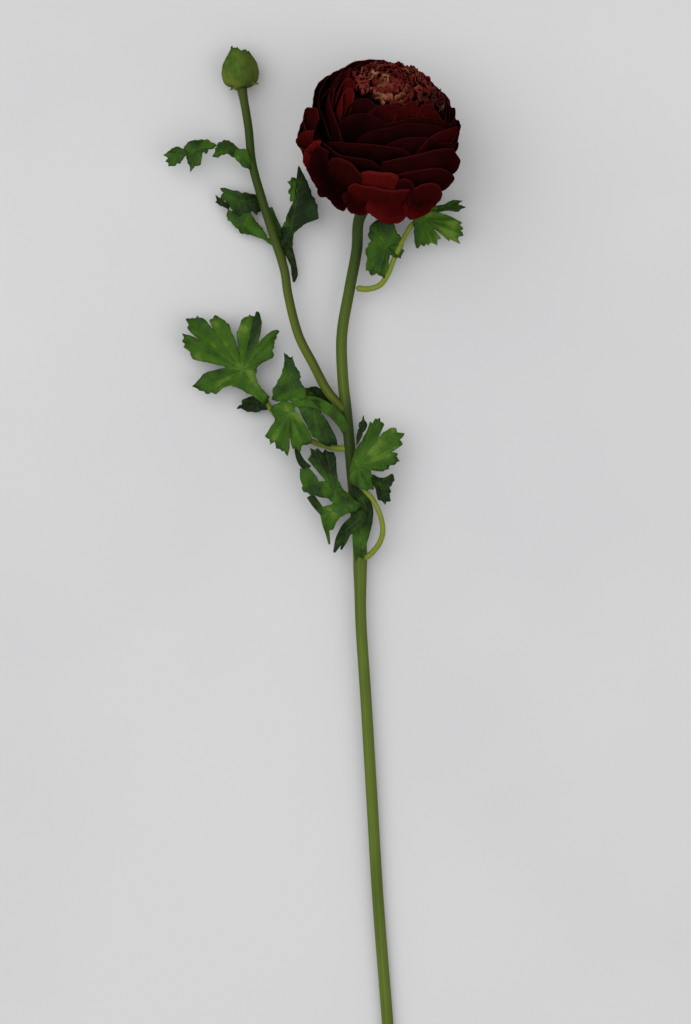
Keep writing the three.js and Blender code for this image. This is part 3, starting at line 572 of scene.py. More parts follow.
class Piece:
    """One piece of the flower while it is shaped, in millimetres."""

    NUMBERS = ("share", "red", "gold", "green", "tone", "vein", "along", "rim", "side")
    SEAM = 0.002

    def __init__(self, name: str) -> None:
        """Start an empty piece.

        Args:
            name: The piece's name.
        """
        self.name = name
        self.shape = bmesh.new()
        self.shape.loops.layers.uv.new("UVMap")
        self.layers = {number: self.shape.verts.layers.float.new(number) for number in self.NUMBERS}

    def grid(
        self,
        columns: int,
        rows: int,
        place: Place,
        **numbers: "float | Place",
    ) -> list[bmesh.types.BMVert]:
        """Lay a grid out as a curved sheet.

        Args:
            columns: The faces across.
            rows: The faces along.
            place: The point at a share across (-1 to 1) and along (0 to 1).
            **numbers: The mesh's numbers there: plain, or worked out at each share.

        Returns:
            The sheet's vertices.
        """
        made = bmesh.ops.create_grid(self.shape, x_segments=columns, y_segments=rows, size=1.0, calc_uvs=True)
        for vertex in made["verts"]:
            across, along = vertex.co.x, (vertex.co.y + 1) / 2
            for name, number in numbers.items():
                vertex[self.layers[name]] = number(across, along) if callable(number) else number
            vertex.co = place(across, along)
        return made["verts"]

    def rolled(self, columns: int, rows: int, place: Place, **numbers: "float | Place") -> None:
        """Lay a grid out round an axis and close its seam and poles; its first share is the turn."""
        made = self.grid(columns, rows, place, **numbers)
        bmesh.ops.remove_doubles(self.shape, verts=made, dist=self.SEAM)

    def tube(
        self,
        route: "Route",
        radius: Callable[[float], float],
        sides: int,
        steps: int,
        ribs: float = 0.0,
        **numbers: "float | Place",
    ) -> None:
        """Draw a round tube along a route and round off both ends.

        Args:
            route: The middle line.
            radius: The radius at a share of the length.
            sides: The faces round it.
            steps: The faces along it.
            ribs: How deep the shallow ribs along it are, as a share of the radius.
            **numbers: The mesh's numbers.
        """
        frames = route.frames(steps)

        def place(across: float, along: float) -> Vector:
            """Give a point of the tube's skin.

            Args:
                across: The share across, from -1 to 1.
                along: The share along, from 0 to 1.

            Returns:
                The point.
            """
            index = round(along * steps)
            angle = (across + 1) * math.pi
            centre, side, up = frames[index]
            closing = 0.0 if index in (0, steps) else 1.0
            reach = radius(along) * closing * (1 + ribs * math.sin(angle * 5 + along * 7))
            return centre + side * math.cos(angle) * reach + up * math.sin(angle) * reach

        self.rolled(sides, steps, place, **numbers)

    @staticmethod
    def turned(name: str, profile: Sequence[Pair], frame: Matrix) -> "Piece":
        """Spin a profile of radius and height pairs round a frame's z axis.

        Args:
            name: The piece's name.
            profile: The radius and height pairs, with both ends on the axis.
            frame: Where the axis stands.

        Returns:
            A piece of that one round body.
        """
        piece = Piece(name)
        shape = piece.shape
        points = [shape.verts.new((radius, 0.0, height)) for radius, height in profile]
        edges = [shape.edges.new(pair) for pair in zip(points, points[1:])]
        bmesh.ops.spin(
            shape,
            geom=points + edges,
            cent=(0, 0, 0),
            axis=(0, 0, 1),
            angle=math.tau,
            steps=ROUND_STEPS,
            use_merge=True,
        )
        bmesh.ops.remove_doubles(shape, verts=shape.verts, dist=Piece.SEAM)
        bmesh.ops.recalc_face_normals(shape, faces=shape.faces)
        bmesh.ops.transform(shape, matrix=frame, verts=shape.verts)
        return piece

    def finish(
        self,
        material: bpy.types.Material,
        slot: Slot,
        nodes: Sequence[str],
        thickness: float = 0.0,
        smoothing: int = 0,
    ) -> None:
        """Make the object, dress it and let it ride on the flower.

        Args:
            material: Its finish.
            slot: The record's slot for its finish; not used.
            nodes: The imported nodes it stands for.
            thickness: The thickness of its sheets in millimetres, or 0 for closed bodies.
            smoothing: The levels of subdivision.
        """
        bmesh.ops.scale(self.shape, vec=(MILLIMETRE,) * 3, verts=self.shape.verts)
        mesh = bpy.data.meshes.new(self.name)
        self.shape.to_mesh(mesh)
        self.shape.free()
        mesh.shade_smooth()
        mesh.materials.append(material)
        made = bpy.data.objects.new(self.name, mesh)
        bpy.context.scene.collection.objects.link(made)
        if thickness:
            wall = made.modifiers.new("wall", "SOLIDIFY")
            wall.thickness = thickness * MILLIMETRE
            wall.offset = 0.0
        if smoothing:
            finer = made.modifiers.new("finer", "SUBSURF")
            finer.levels = finer.render_levels = smoothing
        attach(made, "root")
        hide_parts(*nodes)
        LOG.info("%s: %d faces for %s", self.name, len(mesh.polygons), ", ".join(nodes))


@dataclass(frozen=True)
class Route:
    """A smooth line through points."""

    points: tuple[Vector, ...]

    @staticmethod
    def through(points: Sequence[Sequence[float]]) -> "Route":
        """Make a route through plain points."""
        return Route(tuple(Vector(point[:3]) for point in points))

    def at(self, share: float) -> Vector:
        """Give the point at a share of the number of spans.

        Args:
            share: From 0 at the first point to 1 at the last.

        Returns:
            The point on the centripetal curve through the points.
        """
        points, last = self.points, len(self.points) - 1
        span = min(int(share * last), last - 1)
        weight = share * last - span
        second, third = points[span], points[span + 1]
        first = points[span - 1] if span > 0 else second * 2 - third
        fourth = points[span + 2] if span + 2 <= last else third * 2 - second
        pairs = ((first, second), (second, third), (third, fourth))
        before, here, after = [max((end - start).length ** 0.5, 1e-4) for start, end in pairs]
        leaving = (second - first) / before - (third - first) / (before + here) + (third - second) / here
        entering = (third - second) / here - (fourth - second) / (here + after) + (fourth - third) / after
        leaving, entering = leaving * here, entering * here
        square, cube = weight**2, weight**3
        return (
            second * (2 * cube - 3 * square + 1)
            + third * (3 * square - 2 * cube)
            + leaving * (cube - 2 * square + weight)
            + entering * (cube - square)
        )

    def spaced(self, steps: int) -> list[Vector]:
        """Give points at even distances along the route.

        Args:
            steps: The number of steps between them.

        Returns:
            One point more than there are steps.
        """
        fine = [self.at(number / (steps * 8)) for number in range(steps * 8 + 1)]
        lengths = [0.0]
        for before, after in zip(fine, fine[1:]):
            lengths.append(lengths[-1] + (after - before).length)
        points, index = [], 0
        for number in range(steps + 1):
            wanted = lengths[-1] * number / steps
            while index < len(fine) - 2 and lengths[index + 1] < wanted:
                index += 1
            gap = max(lengths[index + 1] - lengths[index], 1e-9)
            points.append(fine[index].lerp(fine[index + 1], min((wanted - lengths[index]) / gap, 1.0)))
        return points

    def frames(self, steps: int) -> list[tuple[Vector, Vector, Vector]]:
        """Give, at even distances, the point and two directions square to the route.

        Args:
            steps: The number of steps.

        Returns:
            The point, the direction to the side and the direction up, at each step.
        """
        points = self.spaced(steps)
        frames = []
        for index, point in enumerate(points):
            ahead = (points[min(index + 1, steps)] - points[max(index - 1, 0)]).normalized()
            side = ahead.cross(Vector((0, 0, 1))).normalized()
            frames.append((point, side, side.cross(ahead).normalized()))
        return frames


# The bloom


@dataclass(frozen=True)
class BloomShape:
    """The ball of the bloom, its tilt and its place over the surface.

    Rise and lean are the degrees that its axis points up and to the right. Below the press height, the ball
    keeps the press share of its depth.
    """

    centre: Vector = Vector((1.1, 1.6, 34.2))
    over_base: float = 31.0
    squash: float = 0.92
    rise: float = 35.0
    lean: float = 18.0
    press_height: float = 4.0
    press_share: float = 0.85
    lowest: float = 0.2
    neck: float = 7.4

    @property
    def axis(self) -> Vector:
        """The way the bloom faces."""
        rise, lean = math.radians(self.rise), math.radians(self.lean)
        return Vector((math.sin(lean) * math.cos(rise), math.cos(lean) * math.cos(rise), math.sin(rise)))

    @property
    def base(self) -> Vector:
        """The middle of the bloom's underside, where the petals grow."""
        return self.centre - self.axis * self.over_base

    @property
    def stem_end(self) -> Vector:
        """The point under the calyx where the stem ends."""
        return self.base - self.axis * self.neck

    @property
    def frame(self) -> Matrix:
        """The bloom's own frame: x to its side, y toward the floor, z along its axis.

        Returns:
            The frame as a matrix.
        """
        down = (Vector((0, 0, -1)) + self.axis * self.axis.z).normalized()
        side = down.cross(self.axis)
        rows = [(side[i], down[i], self.axis[i], self.base[i]) for i in range(3)]
        return Matrix((*rows, (0, 0, 0, 1)))

    def point(self, off: float, turn: float, distance: float) -> Vector:
        """Give a point round the ball, above the floor.

        Args:
            off: The angle off the axis in degrees.
            turn: The turn round the axis; 180 faces up.
            distance: The distance from the ball's centre.

        Returns:
            The point, pressed softly where it nears the surface.
        """
        along = math.cos(math.radians(off)) * distance
        out = math.sin(math.radians(off)) * distance
        height = self.over_base + (along * self.squash if off > 90 else along)
        turned = math.radians(turn)
        spot = self.frame @ Vector((math.sin(turned) * out, math.cos(turned) * out, height))
        if spot.z < self.press_height:
            spot.z = self.press_height - (self.press_height - spot.z) * self.press_share
        spot.z = max(spot.z, self.lowest)
        return spot


@dataclass(frozen=True)
class Petal:
    """One petal round the ball, drawn from its rim down to its root.

    The rim is a row of places: the angle off the bloom's axis, the turn round it and the distance from the
    ball's centre. At its root a petal is turned toward aim and gathered to that share of its rim's width.
    A wrapped petal lies against the ball, and a loose one rises from the inner distance to its rim.
    """

    rim: tuple[Triple, ...]
    # how strongly the petal takes the painted red glow and painted light of a thin, lit petal
    red: float = 0.0
    wrapped: bool = False
    root: float = 162.0
    aim: float | None = None
    gathered: float = 0.3
    inner: float = 36.5
    depth: float = 0.2
    widest: float = 99.0
    shortest: float = 0.45
    ruffle: float = 0.25
    swell: float = 0.7
    lip: float = 0.15
    crease: float = 0.12
    corner: float = 14.0
    covered: float = 0.0
    phase: float = 0.0

    def build(self, piece: Piece, bloom: BloomShape, columns: int, rows: int) -> None:
        """Add the petal to a piece.

        Args:
            piece: The piece.
            bloom: The bloom's shape.
            columns: The faces across.
            rows: The faces along.
        """
        line = Route.through(self.rim)
        places = [line.at(column / columns) for column in range(columns + 1)]
        middle = places[columns // 2].y
        aim = middle if self.aim is None else self.aim
        average = sum(place.x for place in places) / len(places)
        root = lerp(self.root, average, self.shortest if self.wrapped else 0)

        def place(side: float, share: float) -> Vector:
            """Give a point of the petal.

            Args:
                side: The share across, from -1 to 1.
                share: The share from root to rim, from 0 to 1.

            Returns:
                The point.
            """
            off_rim, turn_rim, far = places[round((side + 1) / 2 * columns)]
            tucked = off_rim + (self.corner * abs(side) ** 7 if self.wrapped else 0)
            off = lerp(root, tucked, share)
            turn = lerp(aim + (turn_rim - middle) * self.gathered, turn_rim, smooth(share, 0, 0.8))
            if self.wrapped:
                distance = far - self.depth * max(min(off, self.widest) - off_rim, 0)
            else:
                distance = lerp(self.inner, far, smooth(share, 0.1, 0.95))
            wave = math.sin(side * 5.2 + self.phase) + 0.4 * math.sin(side * 12 + self.phase * 2)
            crease = self.crease * math.sin(side * 31 + self.phase * 5) * smooth(share, 0.3, 0.9)
            lift = self.ruffle * smooth(share, 0.5, 1) * wave
            lift += self.lip * smooth(share, 0.85, 1) ** 2 + crease
            lift += self.swell * noise.noise(Vector((side * 2.6, share * 2.4, self.phase * 3)))
            off += 0.9 * self.ruffle * smooth(share, 0.7, 1) * math.sin(side * 9 + self.phase * 3)
            return bloom.point(off, turn, distance + lift)

        def painted_glow(side: float, share: float) -> float:
            """Give how strong the painted red glow is there, most at the thin rim."""
            return self.red * lerp(0.55, 1, smooth(share, 0.4, 0.95))

        def shown(side: float, share: float) -> float:
            """Give the share up the part that its neighbours leave bare."""
            return max(share - self.covered, 0.0) / (1 - self.covered)

        piece.grid(columns, rows, place, share=shown, red=painted_glow)


# Petals that wrap the front of the ball, from the outermost to the innermost.
FRONT_WRAPS = (
    Petal(((98, 270, 37), (95, 252, 37), (92, 240, 37), (90, 227, 37.2), (89, 215, 37.3), (88, 205, 37.3),
           (85, 195, 37.2), (81, 184, 37), (79, 172, 36.6)), red=0.12),
    Petal(((92, 232, 35.6), (86, 220, 35.8), (80, 208, 36), (75, 196, 36), (71, 184, 36), (69, 172, 36),
           (69, 160, 35.8), (72, 148, 35.4)), red=0.1),
    Petal(((68, 184, 34.8), (63, 170, 35), (60, 158, 35.1), (59, 148, 35.1), (61, 137, 35),
           (65, 125, 34.8), (68, 112, 34.3), (72, 98, 33.5)), red=0.12),
    Petal(((64, 152, 34.6), (59, 141, 35), (57, 132, 35.3), (56, 122, 35.5), (57, 112, 35.3),
           (59, 102, 34.8), (64, 90, 34), (70, 80, 33.3)), red=0.3),
    Petal(((86, 234, 35), (86, 250, 35.6), (85, 262, 36.3), (83, 272, 37.2), (79, 279, 38.3),
           (74, 285, 39), (70, 292, 38.4), (68, 305, 36.4), (68, 320, 34.8)), red=0.1),
    Petal(((80, 224, 34), (78, 240, 34.4), (78, 252, 34.8), (76, 266, 35.4), (72, 280, 36.6),
           (67, 289, 37.6), (61, 295, 36.9), (57, 305, 35.4), (57, 320, 33.8)), red=0.15),
    Petal(((66, 204, 34.2), (61, 190, 34.4), (56, 178, 34.5), (51, 166, 34.5), (49, 152, 34.5),
           (51, 134, 34.5), (56, 117, 34.4), (60, 103, 34)), red=0.08),
    Petal(((76, 228, 33.6), (70, 222, 33.8), (63, 218, 34), (57, 212, 34), (53, 203, 34), (52, 194, 34),
           (53, 184, 34), (57, 172, 33.8)), red=0.1),
    Petal(((74, 210, 33.4), (70, 225, 33.7), (68, 240, 33.9), (67, 254, 34.1), (64, 268, 34.3),
           (59, 284, 34.8), (54, 298, 36.4), (48, 309, 35.4), (43, 320, 34.6), (39, 334, 33.9),
           (39, 350, 33)), red=0.26),
    Petal(((58, 196, 33.6), (53, 184, 33.8), (49, 170, 33.9), (45, 158, 33.9), (44, 142, 33.9),
           (46, 126, 33.9), (50, 112, 33.8), (54, 100, 33.4)), red=0.12),
    Petal(((66, 222, 33), (57, 225, 33.2), (49, 223, 33.3), (44, 216, 33.4), (43, 207, 33.4),
           (45, 196, 33.3), (47, 186, 33.2), (51, 175, 33)), red=0.1),
    Petal(((50, 208, 32.9), (44, 199, 33.3), (40, 190, 33.5), (38, 180, 33.6), (38, 171, 33.6),
           (42, 163, 33.4), (48, 158, 33)), red=0.3),
    Petal(((47, 180, 32.8), (41, 173, 33.3), (35, 167, 33.7), (32, 160, 33.9), (33, 152, 33.9),
           (37, 145, 33.7), (44, 140, 33.2)), red=0.42),
    Petal(((44, 156, 32.9), (37, 148, 33.5), (34, 140, 33.7), (34, 131, 33.7), (37, 124, 33.5),
           (43, 118, 33), (50, 114, 32.6)), red=0.4),
    Petal(((64, 240, 33), (60, 254, 33.4), (56, 270, 33.6), (50, 284, 33.8), (46, 300, 33.8),
           (44, 316, 33.4)), red=0.25),
    Petal(((60, 262, 33.2), (59, 276, 33.9), (54, 287, 34.4), (48, 284, 34.5), (45, 268, 34.1),
           (46, 254, 33.5)), red=0.38, corner=6.0),
    Petal(((58, 246, 33), (52, 256, 33.6), (47, 261, 33.8), (43, 253, 33.8), (43, 242, 33.5),
           (47, 234, 33)), red=0.42, corner=6.0),
    Petal(((62, 228, 32.9), (57, 236, 33.5), (52, 242, 33.9), (48, 243, 34), (46, 237, 33.9),
           (48, 229, 33.6), (53, 222, 33.1)), red=0.6, corner=6.0),
)

# Loose petals of the underside that the front shows, from the inner ones to the outer ones.
LOOSE_PETALS = (
    Petal(((99, 189, 38.2), (94, 188, 38.4), (90, 184, 38.5), (88, 176, 38.6), (86, 168, 38.6),
           (88, 163, 38.6), (95, 161, 38.2)), red=0.66, gathered=0.7, ruffle=0.1),
    Petal(((96, 166, 38.6), (90, 162, 38.9), (88, 158, 39), (90, 153, 39.2), (97, 149, 39.2),
           (105, 147, 38.8)), red=0.15, gathered=0.6, inner=37),
    Petal(((82, 176, 35.6), (76, 166, 36.4), (71, 152, 36.9), (68, 138, 37.4), (68, 127, 38),
           (70, 120, 38.5), (75, 117, 39.2), (80, 114, 39.3), (84, 118, 37.4), (88, 122, 35)), red=0.18,
          ruffle=0.12, root=112, aim=152, inner=34),
    Petal(((91, 168, 36), (85, 157, 37), (82, 146, 37.3), (81, 136, 37.4), (83, 128, 37.6),
           (87, 121, 38.4), (93, 115, 39.5), (97, 116, 39.2), (100, 122, 37), (103, 126, 35)), red=0.18,
          ruffle=0.12, root=126, aim=150, inner=34.5),
    Petal(((103, 213, 38.8), (96, 212, 39), (92, 209, 39.1), (89, 204, 39.1), (89, 197, 39),
           (91, 191, 38.8), (95, 186, 38.4)), red=0.22, gathered=0.6, inner=35.5),
    Petal(((97, 272, 37.6), (96, 256, 38.2), (95, 243, 38.4), (97, 232, 38.4), (101, 222, 38.2)),
          red=0.4),
    Petal(((78, 236, 37.8), (74, 242, 38.9), (77, 248, 39.8), (82, 254, 40.2), (87, 249, 40.4),
           (89, 243, 40.4), (92, 236, 39.6)), red=0.26, gathered=0.7, ruffle=0.12, root=112, aim=226,
          inner=37),
    Petal(((110, 194, 39), (104, 190, 39.4), (102, 184, 39.6), (100, 175, 39.7), (100, 168, 39.7),
           (99, 162, 39.7), (97, 157, 39.4), (97, 152, 38.9)), red=0.5, gathered=0.6, ruffle=0.1,
          inner=39.4, root=156),
    Petal(((85, 232, 39.6), (89, 238, 41), (93, 241, 42), (99, 244, 42.9), (103, 245, 43.1),
           (103, 241, 42.7), (102, 236, 41.7), (100, 230, 40.2)), red=0.52, gathered=0.85, ruffle=0.1,
          root=112, aim=216, inner=37),
    Petal(((88, 224, 38.4), (91, 229, 39.4), (97, 232, 40.4), (102, 234, 41), (109, 237, 41.4),
           (117, 240, 41.6), (121, 238, 41.6), (124, 233, 41)), red=0.78, gathered=0.7, ruffle=0.1,
          root=140, aim=220, inner=38.6),
    Petal(((124, 139, 39.4), (108, 149, 39.2), (98, 151, 39.2), (92, 146, 39.4), (91, 138, 39.6),
           (94, 131, 39.8), (101, 125, 39.8), (110, 121, 40), (118, 119, 40.3), (126, 117, 40.5)),
          red=0.34, gathered=0.6, inner=38.8, root=156),
    Petal(((90, 214, 38.6), (91, 222, 39.2), (95, 226, 40), (103, 228, 40.8), (112, 230, 41.4),
           (119, 230, 41.8), (123, 229, 42.1), (125, 225, 42.4), (127, 223, 43), (128, 220, 42.8),
           (131, 221, 43.9), (135, 221, 44), (133, 217, 43.8), (132, 214, 42.6), (136, 214, 42.6),
           (137, 211, 42.2), (139, 210, 42.8), (143, 208, 43.1), (143, 203, 43.4), (144, 199, 43),
           (135, 194, 42.2), (127, 192, 41.2)), red=0.18, gathered=0.25, ruffle=0.1, root=116, aim=196,
          inner=38.4),
    Petal(((125, 198, 40.4), (132, 195, 41.1), (140, 193, 41.6), (148, 188, 41.8), (149, 182, 41.6),
           (139, 177, 41.2), (130, 174, 40.6)), red=0.5, gathered=0.5, ruffle=0.2, root=108, aim=184,
          inner=38.6),
    Petal(((114, 152, 40.4), (120, 148, 41.6), (131, 137, 42.4), (134, 129, 42.6), (131, 124, 42.3),
           (125, 124, 42), (117, 126, 41.2)), red=0.72, gathered=0.6, ruffle=0.15, root=106, aim=138,
          inner=38.8),
    Petal(((124, 178, 40.6), (130, 171, 42), (133, 165, 42.9), (136, 158, 43.6), (136, 151, 43.8),
           (131, 146, 43.5), (123, 147, 42.6), (114, 150, 40.8)), red=0.84, gathered=0.6, ruffle=0.15,
          root=104, aim=162, inner=38.6),
)


@dataclass
class BloomPetals:
    """The ball of wrapped petals and the loose outer petals under it.

    The ball is sunk round its hollow and squeezed round its flanks: each is a turn and a half spread.
    """

    bloom: BloomShape
    skin: PetalSkin = field(default_factory=PetalSkin)
    back_count: int = 34
    back_turns: Pair = (292, 104)
    back_half_width: float = 21.0
    back_seed: int = 11
    back_tips: Pair = (98.0, 46.0)
    back_distances: Pair = (35.0, 33.0)
    hollow: Pair = (54.0, 30.0)
    hollow_depths: Pair = (1.5, 3.0)
    flank: Pair = (92.0, 34.0)
    flank_depth: float = 4.5
    under_count: int = 18
    under_turns: Pair = (262, 112)
    under_tips: Pair = (141.0, 97.0)
    under_half_width: float = 18.5
    under_seed: int = 23
    under_flank: Pair = (88.0, 36.0)
    under_out: float = 40.6
    under_in: Pair = (36.6, 35.4)
    under_squeezed: Pair = (32.5, 37.5)
    thickness: float = 0.36
    front_grid: tuple[int, int] = (40, 16)
    back_grid: tuple[int, int] = (20, 12)
    loose_grid: tuple[int, int] = (42, 20)
    under_grid: tuple[int, int] = (22, 16)
    front_covered: float = 0.6
    back_covered: float = 0.45
    core: Line = (
        (0, 0.6), (8.5, 0.6), (14, 2.1), (20, 6.2), (24.6, 12.8), (27.2, 20.4), (27.8, 26), (26.6, 29.2),
        (0, 29.2),
    )

    @staticmethod
    def hidden(turn: float, turns: Pair) -> bool:
        """Tell whether a turn lies on the side between two turns that passes 0."""
        return turn % 360 > turns[0] or turn % 360 < turns[1]

    @staticmethod
    def arc(tip: float, turn: float, half_width: float, distance: float) -> tuple[Triple, ...]:
        """Give an even rim, lower toward its sides.

        Args:
            tip: The angle off the axis at its middle.
            turn: The turn of its middle.
            half_width: Half its width in millimetres.
            distance: Its distance from the ball's centre.

        Returns:
            The rim's places.
        """
        spread = math.degrees(half_width / (distance * math.sin(math.radians(max(tip, 30)))))
        sides = (-1, -0.85, -0.5, 0, 0.5, 0.85, 1)
        return tuple((tip + 9 * abs(side) ** 3, turn + side * spread, distance) for side in sides)

    def back(self) -> list[Petal]:
        """Give the wrapped petals of the side that lies down and away.

        Returns:
            The petals, the outermost first.
        """
        chance = random.Random(self.back_seed)
        petals = []
        for number in range(self.back_count * 2):
            level = number / (self.back_count * 2 - 1)
            turn = number * GOLDEN_ANGLE + chance.uniform(-7, 7)
            tip = lerp(*self.back_tips, level**0.9)
            distance = lerp(*self.back_distances, level) + chance.uniform(-0.3, 0.3)
            distance -= hump(turn, *self.hollow) * lerp(*self.hollow_depths, level)
            distance -= hump(turn, *self.flank) * smooth(tip, 72, 94) * self.flank_depth
            phase = chance.uniform(0, 6)
            if self.hidden(turn, self.back_turns):
                rim = self.arc(tip, turn, self.back_half_width * (1 - 0.2 * level), distance)
                petals.append(Petal(rim, red=0.15, phase=phase, ruffle=0.35))
        return petals

    def under(self) -> list[Petal]:
        """Give the looser petals of the underside that lie down and away.

        Returns:
            The petals, the lowest first.
        """
        chance = random.Random(self.under_seed)
        petals = []
        for number in range(self.under_count):
            level = number / (self.under_count - 1)
            turn = number * GOLDEN_ANGLE + 150 + chance.uniform(-8, 8)
            hugging = smooth(math.cos(math.radians(turn)), 0.1, 0.8)
            distance = lerp(self.under_out, lerp(*self.under_in, level), hugging)
            tip, phase = lerp(*self.under_tips, level), chance.uniform(0, 6)
            squeezed = lerp(*self.under_squeezed, smooth(tip, 100, 132))
            distance = lerp(distance, squeezed, hump(turn, *self.under_flank))
            if self.hidden(turn, self.under_turns):
                rim = self.arc(tip, turn, self.under_half_width, distance)
                petals.append(Petal(rim, red=0.3, phase=phase, ruffle=lerp(0.8, 0.2, hugging), gathered=0.5))
        return petals

    def build(self) -> None:
        """Make the petals as one piece."""
        piece = Piece("petals")
        for number, petal in enumerate(FRONT_WRAPS):
            wrapped = replace(petal, wrapped=True, covered=self.front_covered, phase=number * 1.7)
            wrapped.build(piece, self.bloom, *self.front_grid)
        for petal in self.back():
            wrapped = replace(petal, wrapped=True, covered=self.back_covered)
            wrapped.build(piece, self.bloom, *self.back_grid)
        for number, petal in enumerate(LOOSE_PETALS):
            replace(petal, phase=number * 2.3).build(piece, self.bloom, *self.loose_grid)
        for petal in self.under():
            petal.build(piece, self.bloom, *self.under_grid)
        material = self.skin.material()
        piece.finish(material, Slot.PETAL, ["bloom_petals"], self.thickness)
        core = Piece.turned("petal_core", self.core, self.bloom.frame)
        core.finish(material, Slot.PETAL, ["bloom_petals"])


@dataclass
class Heart:
    """The frilly heart: many small crumpled petals over a low dome, which fall away from its eye.

    The eye is an angle off the axis and a turn, and each gold spot also has its spread. The hollow is a turn
    and a half spread.
    """

    bloom: BloomShape
    skin: HeartSkin = field(default_factory=HeartSkin)
    count: int = 300
    thickness: float = 0.26
    faces: int = 6
    seed: int = 37
    eye: Pair = (17.0, 236.0)
    hollow: Pair = (44.0, 26.0)
    twist: float = 30.0
    half_widths: Pair = (1.8, 3.1)
    lengths: Pair = (5.5, 7.5)
    spiky: float = 0.22
    edges: Pair = (49.0, 39.0)
    gold_spots: tuple[Triple, ...] = (
        (38, 222, 3.5), (38, 206, 3.8), (37, 190, 3.6), (36, 178, 3), (21, 227, 3.4), (27, 211, 3),
        (40, 288, 2.6), (29, 258, 3.2), (41, 240, 2.4), (28, 168, 2.4),
    )
    dome: Line = (
        (0, 30), (16.5, 30), (18, 40), (20.6, 46.5), (20.4, 50.2), (16.8, 54.6), (9.4, 58.2), (0, 59.4),
    )

    @staticmethod
    def direction(off: float, turn: float) -> Vector:
        """Give the direction at an angle off the axis and a turn, in the bloom's frame."""
        off, turn = math.radians(off), math.radians(turn)
        return Vector((math.sin(turn) * math.sin(off), math.cos(turn) * math.sin(off), math.cos(off)))

    def scale(self, piece: Piece, off: float, turn: float, chance: random.Random) -> None:
        """Add one small petal.

        Args:
            piece: The piece.
            off: Its angle off the bloom's axis.
            turn: Its turn round the axis.
            chance: Where its differences come from.
        """
        up, eye = self.direction(off, turn), self.direction(*self.eye)
        away = (up - eye).normalized()
        away = (away - up * away.dot(up)).normalized()
        beside = up.cross(away)
        nearness = sum(
            math.exp(-((math.degrees(up.angle(self.direction(spot_off, spot_turn))) / width) ** 2))
            for spot_off, spot_turn, width in self.gold_spots
        )
        twist = math.radians(chance.gauss(0, self.twist))
        across = beside * math.cos(twist) + away * math.sin(twist)
        fall_way = across.cross(up)
        sinking = hump(turn, *self.hollow) * smooth(off, 22, 42)
        spike = 1.0 if chance.random() < self.spiky else 0.0
        half_width = chance.uniform(*self.half_widths) * (1 - 0.5 * spike)
        length = chance.uniform(*self.lengths)
        fall = chance.uniform(0.2, 0.65) * length
        tip = lerp(32.6, 33.8, min(off / 37, 1)) + chance.uniform(-1.5, 0.5) + 0.7 * spike - 3.0 * sinking
        phase, curl = chance.uniform(0, 6), chance.uniform(-0.5, 1.5)
        middle = Vector((0, 0, self.bloom.over_base))

        def place(side: float, share: float) -> Vector:
            """Give a point of the small petal.

            Args:
                side: The share across, from -1 to 1.
                share: The share from root to rim, from 0 to 1.

            Returns:
                The point.
            """
            notch = share * (0.55 * math.sin(side * 5 + phase) - (1.0 + 1.6 * spike) * side * side)
            width = half_width * lerp(0.4, 1 - 0.45 * spike, smooth(share, 0, 0.7))
            crinkle = 0.55 * share * math.sin(side * 4.5 + phase * 2) + curl * side * side
            height = tip - length * (1 - share) * (1 - 0.25 * share) + notch - 0.35 * fall * share**3
            return self.bloom.frame @ (
                middle + up * height - fall_way * (fall * share * share - crinkle) + across * (side * width)
            )

        gold = min(max(nearness * chance.uniform(-0.5, 1.4) + max(chance.gauss(-0.32, 0.26), 0), 0), 1)
        green = min(max(chance.gauss(-0.25, 0.35), 0), 1)
        red = min(max(chance.gauss(0.75, 0.3), 0), 1)
        # painted shade on the scales of the heart's right side, which lowers their share
        painted_right_shade = 1 - 0.26 * smooth(math.cos(math.radians(turn - 105)), 0.1, 0.9) * smooth(off, 18, 38)
        piece.grid(
            self.faces,
            self.faces,
            place,
            share=lambda side, share: share * painted_right_shade,
            gold=gold,
            green=green,
            red=red,
        )

    def build(self) -> None:
        """Make the heart as one piece."""
        chance = random.Random(self.seed)
        piece = Piece("heart_scales")
        for number in range(self.count):
            turn = (number * GOLDEN_ANGLE + chance.uniform(0, 14)) % 360
            edge = lerp(*self.edges, smooth(math.cos(math.radians(turn - 168)), 0.1, 0.75))
            self.scale(piece, edge * math.sqrt((number + 0.4) / self.count), turn, chance)
        material = self.skin.material()
        piece.finish(material, Slot.HEART, ["bloom_heart"], self.thickness)
        dome = Piece.turned("heart_dome", self.dome, self.bloom.frame)
        dome.finish(material, Slot.HEART, ["bloom_heart"])


